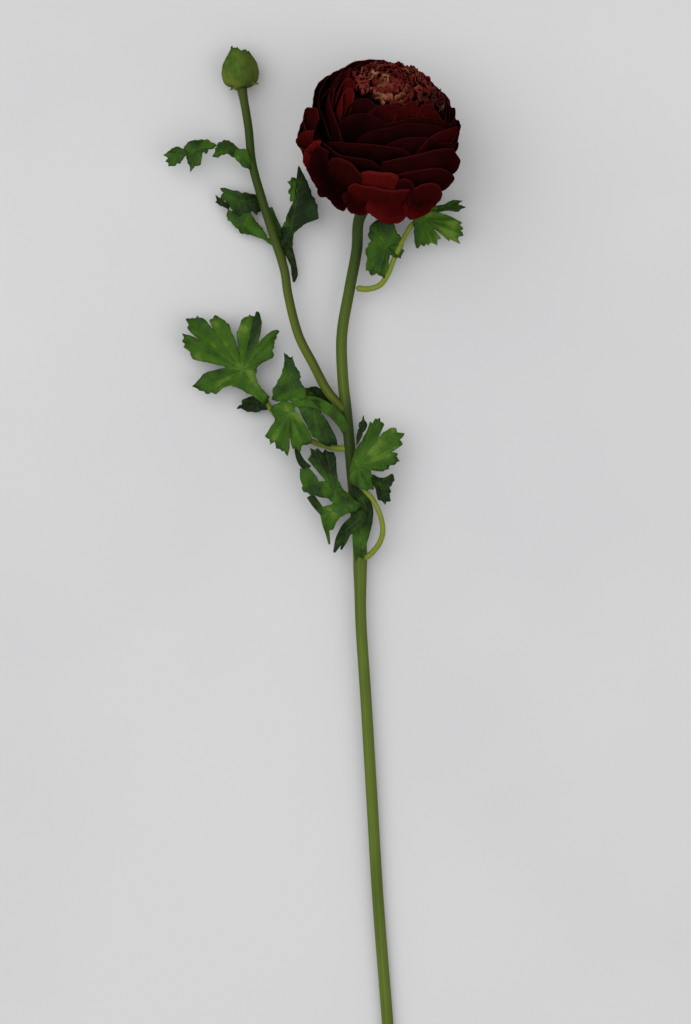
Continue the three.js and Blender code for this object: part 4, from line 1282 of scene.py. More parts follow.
@dataclass
class Calyx:
    """The green cup under the bloom with its five short sepals."""

    bloom: BloomShape
    skin: BudSkin = field(default_factory=lambda: BudSkin(name="calyx_skin"))
    cup: Line = (
        (0, -7), (3.0, -7), (4.4, -5.8), (5.6, -4.2), (6.6, -2.6), (7, -1.3), (0, -1.3),
    )
    sepals: int = 5
    sepal_reach: Pair = (3.5, 13.4)
    sepal_half_width: float = 4.3
    sepal_height: float = -2.6
    sepal_grid: tuple[int, int] = (8, 10)
    thickness: float = 0.6

    def build(self) -> None:
        """Make the cup and its sepals."""
        piece = Piece("calyx_sepals")
        for number in range(self.sepals):
            middle = math.radians((number + 0.5) * 360 / self.sepals)

            def place(side: float, share: float, turn: float = middle) -> Vector:
                """Give a point of a sepal.

                Args:
                    side: The share across, from -1 to 1.
                    share: The share from root to rim, from 0 to 1.
                    turn: The turn of the sepal's middle in radians.

                Returns:
                    The point.
                """
                out = lerp(*self.sepal_reach, share * (1 - 0.2 * side * side))
                rounding = math.sin(min(share * 1.1 + 0.25, 1) * math.pi * 0.86)
                around = turn + side * self.sepal_half_width * rounding / out
                height = self.sepal_height - 2.4 * share * share + 0.5 * side * side * share
                return self.bloom.frame @ Vector((math.sin(around) * out, math.cos(around) * out, height))

            piece.grid(*self.sepal_grid, place, share=lambda side, share: share)
        material = self.skin.material()
        piece.finish(material, Slot.BUD, ["bloom_calyx"], self.thickness)
        cup = Piece.turned("calyx_cup", self.cup, self.bloom.frame)
        cup.finish(material, Slot.BUD, ["bloom_calyx"], smoothing=1)


# The bud


@dataclass
class Bud:
    """The closed bud: a plump core in overlapping ragged sepals, with two short spurs at its base."""

    base: Vector = Vector((-66.9, 25.9, 8.35))
    lean: float = 3.0
    length: float = 18.4
    sepals: int = 5
    half_span: float = 47.0
    first_turn: float = -28.0
    sepal_grid: tuple[int, int] = (16, 20)
    spur_grid: tuple[int, int] = (6, 6)
    core_steps: int = 12
    thickness: float = 0.45
    lowest: float = 0.3
    seed: int = 5
    profile: Line = (
        (0, 2.2), (0.05, 5), (0.12, 6.7), (0.22, 7.6), (0.38, 8), (0.6, 7.3), (0.74, 6), (0.86, 4.6),
        (1, 3.1),
    )
    spurs: tuple[Four, ...] = ((58, 3.2, 5.6, -1), (-72, 5.4, 8.6, 1.4))
    skin: BudSkin = field(default_factory=BudSkin)

    @property
    def frame(self) -> Matrix:
        """The bud's own frame with z along it.

        Returns:
            The frame as a matrix.
        """
        axis = Vector((-math.sin(math.radians(self.lean)), math.cos(math.radians(self.lean)), 0))
        up = Vector((0, 0, 1))
        side = up.cross(axis)
        return Matrix((*[(side[i], up[i], axis[i], self.base[i]) for i in range(3)], (0, 0, 0, 1)))

    def reach(self, share: float) -> float:
        """Give the bud's radius at a share of its length.

        Args:
            share: The share of its length.

        Returns:
            The radius.
        """
        share = min(max(share, 0), 1)
        for (low, near), (high, far) in zip(self.profile, self.profile[1:]):
            if share <= high:
                return lerp(near, far, smooth(share, low, high) * 0.3 + (share - low) / (high - low) * 0.7)
        return self.profile[-1][1]

    def spot(self, turn: float, out: float, height: float) -> Vector:
        """Give a point round the bud's axis, above the surface it lies on.

        Args:
            turn: The turn round the axis in degrees.
            out: The distance from the axis.
            height: The distance along the axis.

        Returns:
            The point.
        """
        around = math.radians(turn)
        spot = self.frame @ Vector((math.sin(around) * out, math.cos(around) * out, height))
        spot.z = max(spot.z, self.lowest)
        return spot

    def build(self) -> None:
        """Make the core, the sepals and the spurs."""
        chance = random.Random(self.seed)
        piece = Piece("bud_sepals")
        for number in range(self.sepals):
            middle = number * 360 / self.sepals + self.first_turn
            ways = (middle, chance.uniform(0, 6), chance.uniform(-0.9, 0.7))

            def place(side: float, share: float, sepal: Triple = ways) -> Vector:
                """Give a point of a sepal.

                Args:
                    side: The share across, from -1 to 1.
                    share: The share from root to rim, from 0 to 1.
                    sepal: Its turn, its phase and how much longer it is.

                Returns:
                    The point.
                """
                turn, seed, more = sepal
                ragging = 0.7 * math.sin(side * 3.4 + seed) + 0.3 * math.sin(side * 10 + seed * 2)
                ragging -= side * side
                height = share * (self.length - 0.6 + more * share**3) + ragging * smooth(share, 0.8, 1)
                way = math.radians(turn + side * self.half_span)
                height += lerp(-0.8, 1.2, share) * math.sin(way)
                bulge = 0.25 * math.sin(side * 5 + seed) * math.sin(share * math.pi)
                out = self.reach(height / self.length) + 0.35 + 0.3 * side + bulge
                return self.spot(turn + side * self.half_span * lerp(1, 0.86, share), out, height)

            def shading(side: float, share: float, turn: float = middle) -> float:
                """Give how far the point lies on the bud's shaded side."""
                return 0.5 - 0.5 * math.sin(math.radians(turn + side * self.half_span))

            piece.grid(*self.sepal_grid, place, share=lambda side, share: share, side=shading)
        for spur in self.spurs:

            def tab(side: float, share: float, spur: tuple[float, ...] = spur) -> Vector:
                """Give a point of a spur.

                Args:
                    side: The share across, from -1 to 1.
                    share: The share from root to rim, from 0 to 1.
                    spur: Its turn, its two distances out and its height.

                Returns:
                    The point.
                """
                turn, near, far, drop = spur
                width = 24 * (1 - 0.75 * share * share)
                return self.spot(turn + side * width, lerp(near, far, share), lerp(1.6, drop, share))

            piece.grid(*self.spur_grid, tab, share=0.5, side=0.4)
        material = self.skin.material()
        piece.finish(material, Slot.BUD, ["flower_bud"], self.thickness)
        shares = [0.02 + step / self.core_steps * 0.9 for step in range(self.core_steps + 1)]
        body = [(self.reach(share) - 0.15, share * self.length) for share in shares]
        profile = [(0.0, body[0][1]), *body, (0.0, body[-1][1] + 0.5)]
        Piece.turned("bud_core", profile, self.frame).finish(material, Slot.BUD, ["flower_bud"])


# Stems


@dataclass(frozen=True)
class Taper:
    """How thick a stem is along its length: it narrows, swells at a knot and widens at its end."""

    first: float
    last: float
    flare_from: float
    flare: float = 0.5
    swelling: float = 0.0
    knot_at: float = 0.59
    knot_spread: float = 0.035

    def radius(self, share: float) -> float:
        """Give the stem's radius at a share of its length."""
        knot = self.swelling * math.exp(-(((share - self.knot_at) / self.knot_spread) ** 2))
        return lerp(self.first, self.last, share) + knot + self.flare * smooth(share, self.flare_from, 1)


@dataclass
class Stem:
    """A round, faintly ribbed stem along its route."""

    name: str
    node: str
    route: Route
    taper: Taper
    skin: StemSkin
    sides: int = 28
    steps: int = 180
    ribs: float = 0.012

    def build(self) -> None:
        """Make the stem; its right side is marked for the browner tint and for more painted shade."""
        piece = Piece(self.name)
        piece.tube(
            self.route,
            self.taper.radius,
            self.sides,
            self.steps,
            ribs=self.ribs,
            side=lambda across, along: 0.5 + 0.5 * math.cos((across + 1) * math.pi),
            share=lambda across, along: along,
        )
        piece.finish(self.skin.material(), Slot.STEM, [self.node])


# Leaves


@dataclass(frozen=True)
class Blade:
    """A leaf blade seen from above: its rim is headings and reaches round its heart.

    Each entry of painted_lobe_shade is a heading, half its spread in degrees, and how much painted shade
    darkens the lobe there; below 0 it is painted light. The blade rises from its veins in a trough and in
    small quilts, waves, and curls at its rim, and the rim wavers between its corners.
    """

    at: Triple
    rim: Line
    slope: Pair = (0.0, 0.0)
    droop: float = 0.0
    fold: Pair | None = None
    veins: tuple[float, ...] = ()
    tone: Tone = Tone.FRESH
    painted_lobe_shade: tuple[Triple, ...] = ()
    wave: float = 2.1
    curl: float = 2.88
    curl_scale: float = 1.7
    trough: float = 0.2
    waver: float = 1.2
    waver_scale: float = 0.45
    rows: int = 9
    spacing: float = 0.9
    quilt: float = 0.35
    quilt_width: float = 1.6
    trough_width: float = 7.0
    wave_scale: float = 0.15
    lowest: float = 0.4

    def outline(self) -> list[Pair]:
        """Give the rim with more points between its corners, and the stretches between them slightly bent.

        Returns:
            Headings and reaches.
        """
        fine = []
        for index, (heading, reach) in enumerate(self.rim):
            later, far = self.rim[(index + 1) % len(self.rim)]
            gap = (later - heading) % 360
            here = Vector((reach, 0))
            there = Vector((math.cos(math.radians(gap)) * far, math.sin(math.radians(gap)) * far))
            pieces = max(round((there - here).length / self.spacing), 1)
            for step in range(pieces):
                spot = here.lerp(there, step / pieces)
                turned = heading + math.degrees(math.atan2(spot.y, spot.x))
                grain = noise.noise(heading_of(turned) * spot.length * self.waver_scale + Vector(self.at))
                bend = self.waver * grain * math.sin(math.pi * step / pieces)
                fine.append((turned, spot.length + bend))
        return fine

    def vein(self, heading: float, reach: float) -> Triple:
        """Give where a point of the blade lies from its nearest vein.

        Args:
            heading: The heading in degrees.
            reach: The distance from the blade's heart.

        Returns:
            The distance to the vein, the place along it, and 1 on its shaded side or else 0.
        """
        best = (reach, reach, 0.5)
        for vein in self.veins:
            angle = math.radians(heading - vein)
            if math.cos(angle) > 0:
                apart = abs(math.sin(angle)) * reach
                if apart < best[0]:
                    shaded = 0.5 - 0.5 * math.tanh(math.sin(angle) * reach * 1.5)
                    best = (apart, math.cos(angle) * reach, shaded)
        return best

    def build(self, piece: Piece) -> None:
        """Add the blade to a piece.

        Args:
            piece: The piece.
        """
        outline = self.outline()
        count = len(outline)
        longest = max(reach for _, reach in outline)
        fold_way = math.radians(self.fold[0]) if self.fold else 0.0

        def spot(across: float, along: float) -> Pair:
            """Give the heading and reach of a grid point."""
            heading, reach = outline[round((across + 1) / 2 * count) % count]
            return heading, reach * along

        def place(across: float, along: float) -> Vector:
            """Give a point of the blade.

            Args:
                across: The share across, from -1 to 1.
                along: The share along, from 0 to 1.

            Returns:
                The point.
            """
            heading, reach = spot(across, along)
            x, y = math.cos(math.radians(heading)) * reach, math.sin(math.radians(heading)) * reach
            height = self.slope[0] * x + self.slope[1] * y - self.droop * (reach / longest) ** 2
            if self.fold:
                height -= self.fold[1] * abs(y * math.cos(fold_way) - x * math.sin(fold_way))
            apart = self.vein(heading, reach)[0]
            height += self.quilt * (1 - math.exp(-((apart / self.quilt_width) ** 2)))
            height += self.trough * min(apart, self.trough_width)
            spot_x, spot_y = self.at[0] + x, self.at[1] + y
            height += noise.noise(Vector((spot_x, spot_y, 0)) * self.wave_scale) * self.wave * along
            way = (heading_of(heading) + Vector((0, 0, self.at[0] * 0.1))) * self.curl_scale
            height += noise.noise(way) * self.curl * along**3
            return Vector((spot_x, spot_y, max(self.at[2] + height, self.lowest)))

        def tone(across: float, along: float) -> float:
            """Give how dark a point of the blade is.

            Args:
                across: The share across, from -1 to 1.
                along: The share along, from 0 to 1.

            Returns:
                The tone.
            """
            heading, reach = spot(across, along)
            darker = 0.0
            # painted shade darkens the listed lobes, and painted light lightens those with amounts below 0
            for way, spread, amount in self.painted_lobe_shade:
                darker += amount * hump(heading, way, spread) * smooth(reach / longest, 0.1, 0.6)
            return self.tone.value + darker

        piece.rolled(
            count,
            self.rows,
            place,
            tone=tone,
            rim=lambda across, along: along,
            vein=lambda across, along: self.vein(*spot(across, along))[0],
            along=lambda across, along: self.vein(*spot(across, along))[1],
            side=lambda across, along: self.vein(*spot(across, along))[2],
        )


@dataclass(frozen=True)
class Strip:
    """A narrow strip of leaf along points that carry half its width."""

    route: tuple[Four, ...]
    tone: Tone = Tone.DEEP
    trough: float = 0.15
    across: int = 6
    steps: int = 5
    ahead: float = 0.02
    vein_reach: float = 3.0

    def build(self, piece: Piece) -> None:
        """Add the strip to a piece.

        Args:
            piece: The piece.
        """
        line = Route.through(self.route)
        last = len(self.route) - 1

        def place(side: float, share: float) -> Vector:
            """Give a point of the strip.

            Args:
                side: The share across, from -1 to 1.
                share: The share along, from 0 to 1.

            Returns:
                The point.
            """
            middle = line.at(share)
            ahead = line.at(min(share + self.ahead, 1)) - line.at(max(share - self.ahead, 0))
            beside = Vector((ahead.y, -ahead.x, 0)).normalized()
            span = min(int(share * last), last - 1)
            half = lerp(self.route[span][3], self.route[span + 1][3], share * last - span)
            return middle + beside * side * half + Vector((0, 0, self.trough * side * side * half))

        piece.grid(
            self.across,
            last * self.steps,
            place,
            tone=self.tone.value,
            rim=lambda side, share: abs(side),
            vein=lambda side, share: abs(side) * self.vein_reach,
            along=lambda side, share: share * VEIN_LENGTH,
        )


@dataclass(frozen=True)
class Stalk:
    """A thin leaf stalk that tapers along its route."""

    route: tuple[Triple, ...]
    radius: float = 1.15
    wall: float = 0.1
    sides: int = 12
    steps: int = 6
    tone: Tone = Tone.STALK

    def build(self, piece: Piece) -> None:
        """Add the stalk to a piece, as a tube that stays round under the leaf's thin wall.

        Args:
            piece: The piece.
        """
        piece.tube(
            Route.through(self.route),
            lambda share: (self.radius - self.wall) * (1.15 - 0.3 * share),
            self.sides,
            len(self.route) * self.steps,
            tone=self.tone.value,
            rim=0.0,
            vein=FAR_FROM_VEINS,
            along=lambda across, along: along * VEIN_LENGTH,
        )


@dataclass
class Leaf:
    """A leaf of blades, strips and stalks as one piece."""

    name: str
    node: str
    parts: tuple["Blade | Strip | Stalk", ...]
    skin: LeafSkin = field(default_factory=LeafSkin)
    thickness: float = 0.4

    def build(self, material: bpy.types.Material) -> None:
        """Make the leaf with a finish that all the leaves share.

        Args:
            material: The finish.
        """
        piece = Piece(self.name)
        for part in self.parts:
            part.build(piece)
        piece.finish(material, Slot.LEAF, [self.node], self.thickness)


BUD_LEAF = Leaf("leaf_by_bud", "bud_leaf", (
    Blade(
        at=(-96.7, -4.8, 11.6),
        slope=(0.12, 0.1),
        veins=(20, 186, 235, 286),
        tone=Tone.MID,
        rim=((15, 5.3), (61, 2.9), (123, 2.6), (170, 4.3), (188, 6.6), (209, 4.8), (215, 6.7), (227, 6),
             (236, 7.3), (259, 6.2), (270, 4.8), (288, 5.2), (324, 4)),
    ),
    Blade(
        at=(-86, -2.6, 12.9),
        slope=(0.04, 0.16),
        fold=(190, 0.12),
        veins=(10, 190, 245),
        tone=Tone.MID,
        rim=((10, 8.1), (35, 5.7), (69, 4), (139, 4.8), (162, 6.3), (176, 7.4), (207, 7.1), (229, 8.9),
             (237, 9.1), (247, 11.7), (254, 8.5), (264, 8.3), (273, 7.9), (290, 3), (315, 2.4), (316, 4),
             (353, 3.8), (358, 6.6)),
    ),
    Blade(
        at=(-72.9, -2.7, 13.4),
        slope=(-0.05, 0.14),
        fold=(15, 0.1),
        veins=(15, 204),
        tone=Tone.DEEP,
        rim=((36, 3.5), (82, 3.7), (116, 4.2), (149, 4.9), (184, 6), (209, 8.3), (224, 6.5), (227, 4.1),
             (271, 2.7), (303, 5.2), (359, 4.7)),
    ),
    Blade(
        at=(-66, -7.1, 12.1),
        slope=(-0.3, 0.1),
        veins=(150, 318),
        tone=Tone.MID,
        rim=((42, 3.6), (82, 4.2), (116, 5.1), (156, 4.5), (209, 3.1), (264, 3.8), (300, 6.2),
             (320, 5.2), (345, 4)),
    ),
))

BRANCH_LEAF_LEFT = Leaf("leaf_left_of_branch", "branch_leaf_left", (
    Stalk(((-46.9, -55.4, 7.6), (-48.3, -49.6, 5.6), (-52, -46.4, 4.9), (-55.2, -44.6, 4.7)), tone=Tone.MID),
    Blade(
        at=(-66.3, -26.6, 5.4),
        slope=(-0.03, 0.1),
        veins=(8, 158, 340),
        tone=Tone.DEEP,
        painted_lobe_shade=((0, 40, 0.35), (150, 30, -0.3)),
        rim=((12, 9.3), (59, 4.1), (123, 5.7), (145, 10.1), (152, 11.9), (157, 9.7), (175, 10.4),
             (190, 6.9), (216, 6.4), (252, 7.7), (275, 7.5), (308, 6.4), (317, 7.3), (315, 9.4), (329, 9.5),
             (352, 10.6)),
    ),
    Blade(
        at=(-66.4, -37.6, 4.8),
        slope=(-0.03, -0.08),
        veins=(150, 318),
        tone=Tone.MID,
        rim=((6, 7.3), (29, 6.2), (56, 6.8), (83, 5.9), (121, 4.4), (127, 7.7), (134, 9.8), (152, 8.5),
             (164, 7.3), (167, 5.5), (207, 3.6), (249, 3.8), (290, 5), (317, 8.1), (325, 11.3),
             (326, 14.7), (337, 12.3), (348, 9.9)),
    ),
    Blade(
        at=(-76, -26.9, 4.6),
        slope=(0.02, 0),
        veins=(20, 160),
        tone=Tone.DARK,
        rim=((109, 1.4), (134, 4.4), (164, 2.4), (185, 3.1), (257, 2), (312, 4.9), (342, 3.5)),
    ),
))

BRANCH_LEAF_RIGHT = Leaf("leaf_right_of_branch", "branch_leaf_right", (
    Strip(((-46.4, -48.6, 8.6, 2.4), (-49.2, -41.6, 6.4, 2), (-51.6, -35.4, 5.4, 1.6),
           (-53.4, -29.6, 5.2, 1))),
    Blade(
        at=(-43.6, -39.6, 9.4),
        fold=(78, 0.28),
        slope=(0.02, 0.05),
        veins=(78, 247),
        tone=Tone.DARK,
        painted_lobe_shade=((15, 35, -0.3), (200, 60, 0.25)),
        rim=((16, 6.8), (19, 10.9), (19, 13.8), (38, 15.8), (50, 17.6), (67, 21.4), (77, 25.8),
             (83, 29.2), (83, 22.6), (83, 16.5), (87, 11), (107, 6.1), (174, 4.2), (222, 6.9), (236, 9.9),
             (246, 10.2), (259, 10), (275, 8.9), (287, 3.7), (348, 3.4)),
    ),
    Strip(((-46.4, -44.8, 9.2, 2.6), (-45.2, -49, 8.2, 2.4), (-43.8, -52.6, 7, 1.9), (-42.4, -56.8, 6, 1.4),
           (-41.9, -61.2, 5.4, 1.5), (-42.3, -64.6, 5, 0.5)), tone=Tone.DARK),
    Blade(
        at=(-42.4, -21.3, 9.4),
        slope=(0.1, 0.02),
        veins=(95, 160, 215),
        tone=Tone.MID,
        rim=((9, 2.6), (75, 5), (97, 5.4), (108, 4.1), (130, 4.4), (128, 2.3), (208, 2.8), (243, 3),
             (253, 5.9), (272, 5.5), (293, 4.2)),
    ),
))

BLOOM_LEAF = Leaf("leaf_under_bloom", "bloom_leaf", (
    Stalk(((-13.2, -67.6, 8.3), (-7.6, -68.1, 9.3), (-2, -66.3, 10), (1.7, -61.2, 10.6), (4.5, -54.3, 11.2),
           (8.2, -46.4, 11.9), (12.8, -38.4, 12.5), (15.6, -36.2, 12.8))),
    Blade(
        at=(1.2, -48.3, 12.6),
        slope=(-0.05, 0.03),
        droop=1,
        veins=(19, 110, 149, 229, 242, 266, 335),
        tone=Tone.FRESH,
        painted_lobe_shade=((115, 35, 0.55), (235, 14, 0.25)),
        rim=((0, 7.6), (10, 7.1), (21, 7.9), (51, 7.5), (73, 11), (111, 13.1), (129, 12.3), (149, 10.5),
             (161, 7.6), (175, 8.8), (192, 10.2), (215, 11.2), (229, 15.1), (236, 14.6), (242, 15.5),
             (249, 13.6), (266, 15.1), (275, 11.2), (275, 7.5), (289, 4.2), (306, 6.5), (319, 8.7),
             (329, 8.1), (346, 8.3), (353, 7.1)),
    ),
    Blade(
        at=(18.4, -35.7, 12.9),
        slope=(-0.02, 0.05),
        droop=1.5,
        veins=(5, 143, 258, 280, 304, 326, 347),
        tone=Tone.FRESH,
        painted_lobe_shade=((320, 60, -0.22),),
        rim=((5, 12.9), (30, 6.8), (58, 4.6), (143, 4.8), (185, 5), (249, 11.8), (258, 13.9), (264, 11.6),
             (270, 12.6), (275, 11.6), (280, 12.6), (287, 11.6), (297, 13.9), (304, 11.6), (311, 12.3),
             (316, 5.6), (320, 15.8), (323, 15.2), (326, 20.4), (332, 18.3), (338, 20.1), (343, 18),
             (347, 18.9), (351, 17), (355, 18)),
    ),
    Blade(
        at=(29.4, -30.1, 12.7),
        slope=(0.1, 0),
        veins=(22, 190, 358),
        tone=Tone.DEEP,
        rim=((6, 6.6), (14, 5.2), (22, 7.8), (40, 4.6), (58, 3.4), (111, 1.4), (178, 6.8), (200, 7),
             (233, 2.3), (300, 2.2), (339, 5.8), (350, 6.4), (358, 8.6)),
    ),
    Strip(((16.4, -34.6, 13, 2), (21, -32.4, 12.8, 1.8), (26, -30.6, 12.5, 1.4)), tone=Tone.MID),
))

LEFT_LEAF = Leaf("leaf_left", "left_leaf", (
    Stalk(((-16.5, -142.8, 8), (-23.1, -142.3, 6), (-29.2, -140.9, 4.6), (-38.5, -137.1, 3.6),
           (-47, -131, 3.6), (-52.6, -124.9, 4.6), (-55.6, -119.4, 7.4), (-58, -116, 8.6))),
    Blade(
        at=(-66.1, -105.9, 9),
        slope=(-0.02, 0.03),
        droop=2.6,
        veins=(37, 80, 116, 137, 155, 202, 306),
        tone=Tone.FRESH,
        painted_lobe_shade=((72, 7, 0.7), (45, 6, 0.25), (172, 9, 0.2)),
        rim=((8, 6.5), (20, 9.5), (21, 12.7), (22, 15.3), (29, 16.4), (34, 16.7), (36, 18.3), (40, 19.6),
             (43, 20.4), (43, 21.9), (46, 22.7), (46, 24.8), (50, 24.3), (53, 22.7), (55, 20.5),
             (57, 17.3), (59, 13.8), (65, 20.1), (68, 24.1), (74, 27.9), (77, 28), (77, 25.7), (80, 25.6),
             (83, 26.1), (85, 25), (90, 24), (92, 23.1), (94, 20.6), (99, 17.9), (100, 12.8), (98, 8),
             (103, 8.6), (105, 11.5), (105, 15.4), (107, 18.8), (107, 22.6), (109, 23.1), (110, 24.6),
             (112, 25.7), (114, 26.9), (117, 28.9), (119, 28.4), (122, 28.1), (124, 28), (126, 23.5),
             (127, 27.3), (127, 29.5), (129, 31.6), (130, 33.1), (133, 32.8), (135, 34.1), (138, 35.8),
             (140, 32.9), (143, 32.6), (144, 30.4), (145, 24.9), (147, 29.3), (149, 33.1), (152, 31.2),
             (155, 31.2), (156, 29.6), (159, 29.7), (160, 27.2), (163, 25.8), (168, 23.8), (167, 19.1),
             (163, 13.1), (172, 7.9), (180, 12.5), (183, 16.3), (186, 18.7), (194, 22), (198, 25),
             (202, 23), (205, 22.6), (209, 20.6), (215, 19.9), (215, 18.1), (222, 17.1), (222, 14.9),
             (221, 12.9), (226, 10.7), (240, 9.2), (271, 9.6), (290, 12.5), (302, 19.4), (315, 17.9),
             (313, 14.6), (319, 9.4), (342, 6.2)),
    ),
    Blade(
        at=(-59.7, -121.2, 4),
        slope=(0.06, -0.05),
        veins=(165, 330),
        tone=Tone.DARK,
        rim=((15, 5.5), (82, 4.3), (132, 4.1), (166, 6.7), (174, 7.2), (182, 6.9), (188, 8.4),
             (197, 9.9), (198, 7.8), (217, 6.3), (265, 4.4), (326, 5.8), (349, 7.3)),
    ),
))

MIDDLE_LEAF = Leaf("leaf_middle", "middle_leaf", (
    Strip(((-17.4, -135, 9.6, 2), (-20.6, -129.6, 11.6, 2.5), (-25.4, -124.8, 13, 2.6),
           (-31.2, -121.6, 13.6, 2.6), (-38, -120.6, 13.8, 2.6), (-43, -121.4, 13.6, 2.4)), tone=Tone.MID),
    Blade(
        at=(-44, -126.2, 14.2),
        slope=(0, -0.03),
        droop=1.6,
        veins=(87, 230, 257, 279, 306),
        tone=Tone.FRESH,
        painted_lobe_shade=((88, 50, 0.15), (310, 15, 0.3)),
        rim=((20, 2.8), (78, 4.8), (109, 5.7), (132, 6.9), (159, 9), (171, 9.4), (190, 7.8), (203, 7.6),
             (216, 10.9), (223, 15.9), (232, 15.4), (238, 17.5), (242, 15.1), (249, 17.7), (254, 17.4),
             (258, 18.3), (262, 17.9), (267, 20.1), (269, 17.2), (269, 13), (270, 9.3), (272, 14),
             (275, 16.9), (278, 16.5), (284, 19.4), (288, 16.9), (294, 16.2), (306, 17.3), (313, 14.5),
             (321, 9.6), (346, 4.8)),
    ),
    Blade(
        at=(-43.6, -115.9, 13.6),
        fold=(105, 0.22),
        veins=(105, 285, 205),
        tone=Tone.MID,
        rim=((4, 6.9), (30, 6), (51, 6.6), (54, 8.1), (75, 11.1), (85, 14.3), (87, 16.3), (93, 15.9),
             (96, 17.1), (100, 18), (101, 14.2), (106, 11.6), (124, 8.5), (158, 7.4), (183, 8.5),
             (204, 9.8), (231, 6.6), (286, 5.6), (336, 8)),
    ),
    Blade(
        at=(-33.3, -121.5, 13.6),
        slope=(0.02, 0.09),
        droop=0.6,
        veins=(175, 276, 293),
        tone=Tone.DEEP,
        rim=((16, 3.4), (52, 2.4), (172, 7), (199, 7.1), (237, 8.4), (268, 14.9), (277, 16.9),
             (283, 19.4), (290, 21.6), (300, 22.6), (303, 20.6), (305, 16.3), (308, 11.5), (308, 6.5)),
    ),
    Blade(
        at=(-31, -118.9, 5.5),
        slope=(-0.03, 0.02),
        veins=(140, 320),
        tone=Tone.DARK,
        rim=((29, 4.3), (72, 4.5), (118, 5.9), (142, 7.7), (176, 6.6), (223, 4.5), (293, 7.1),
             (313, 8.3), (331, 7.8), (346, 5.8)),
    ),
    Strip(((-39, -118.4, 13.2, 2.2), (-37.2, -118.2, 9.6, 2.2), (-35.4, -118.2, 6.6, 2.2),
           (-32.6, -118.4, 5.6, 2.4))),
))

RIGHT_LEAF = Leaf("leaf_right", "right_leaf", (
    Stalk(((-10.4, -194.8, 6.9), (-6, -191.6, 9.4), (-2, -186.3, 12), (-0.7, -180.7, 13.6),
           (-2.1, -173.2, 14.1), (-5.3, -166.7, 13.6), (-9.6, -161.6, 13.1), (-12.2, -156.6, 13.5))),
    Blade(
        at=(-12.3, -150.9, 15.2),
        slope=(-0.04, 0.03),
        droop=2,
        veins=(12, 40, 66, 84, 273, 305, 353),
        tone=Tone.FRESH,
        painted_lobe_shade=((355, 20, 0.2), (285, 35, 0.45)),
        rim=((2, 14.9), (2, 17.3), (6, 18.3), (7, 19.7), (14, 18.5), (18, 19.4), (23, 16.9), (24, 19.4),
             (26, 23.2), (32, 23), (33, 24.8), (35, 26.5), (41, 24), (45, 25.1), (49, 23.5), (53, 19.9),
             (54, 16), (58, 23), (63, 23.1), (66, 24.8), (67, 23.7), (70, 23.6), (71, 20.7), (75, 21.3),
             (74, 19.2), (76, 16.3), (90, 9.3), (102, 6.7), (163, 3.2), (238, 7.9), (273, 10.5),
             (304, 13.3), (317, 9.6), (343, 6.3), (346, 9.6), (349, 12.3), (355, 14.5)),
    ),
    Blade(
        at=(-2.5, -159.2, 14),
        slope=(-0.14, 0.04),
        veins=(151, 287, 304, 38),
        tone=Tone.DARK,
        rim=((13, 7.6), (38, 7.8), (44, 4.6), (99, 3.1), (129, 5.9), (153, 3.9), (236, 2.9), (268, 7.7),
             (280, 8.1), (287, 10.3), (294, 9), (305, 9.6), (316, 6.7), (328, 6.6), (341, 5.1),
             (359, 6.1)),
    ),
    Blade(
        at=(-10.6, -134.4, 15.6),
        slope=(-0.1, 0.02),
        veins=(82, 262),
        tone=Tone.DARK,
        rim=((9, 1.7), (53, 4.1), (72, 4.9), (84, 7.3), (89, 4.9), (104, 4.1), (171, 1.7), (235, 4.2),
             (252, 7.3), (266, 3.7)),
    ),
))

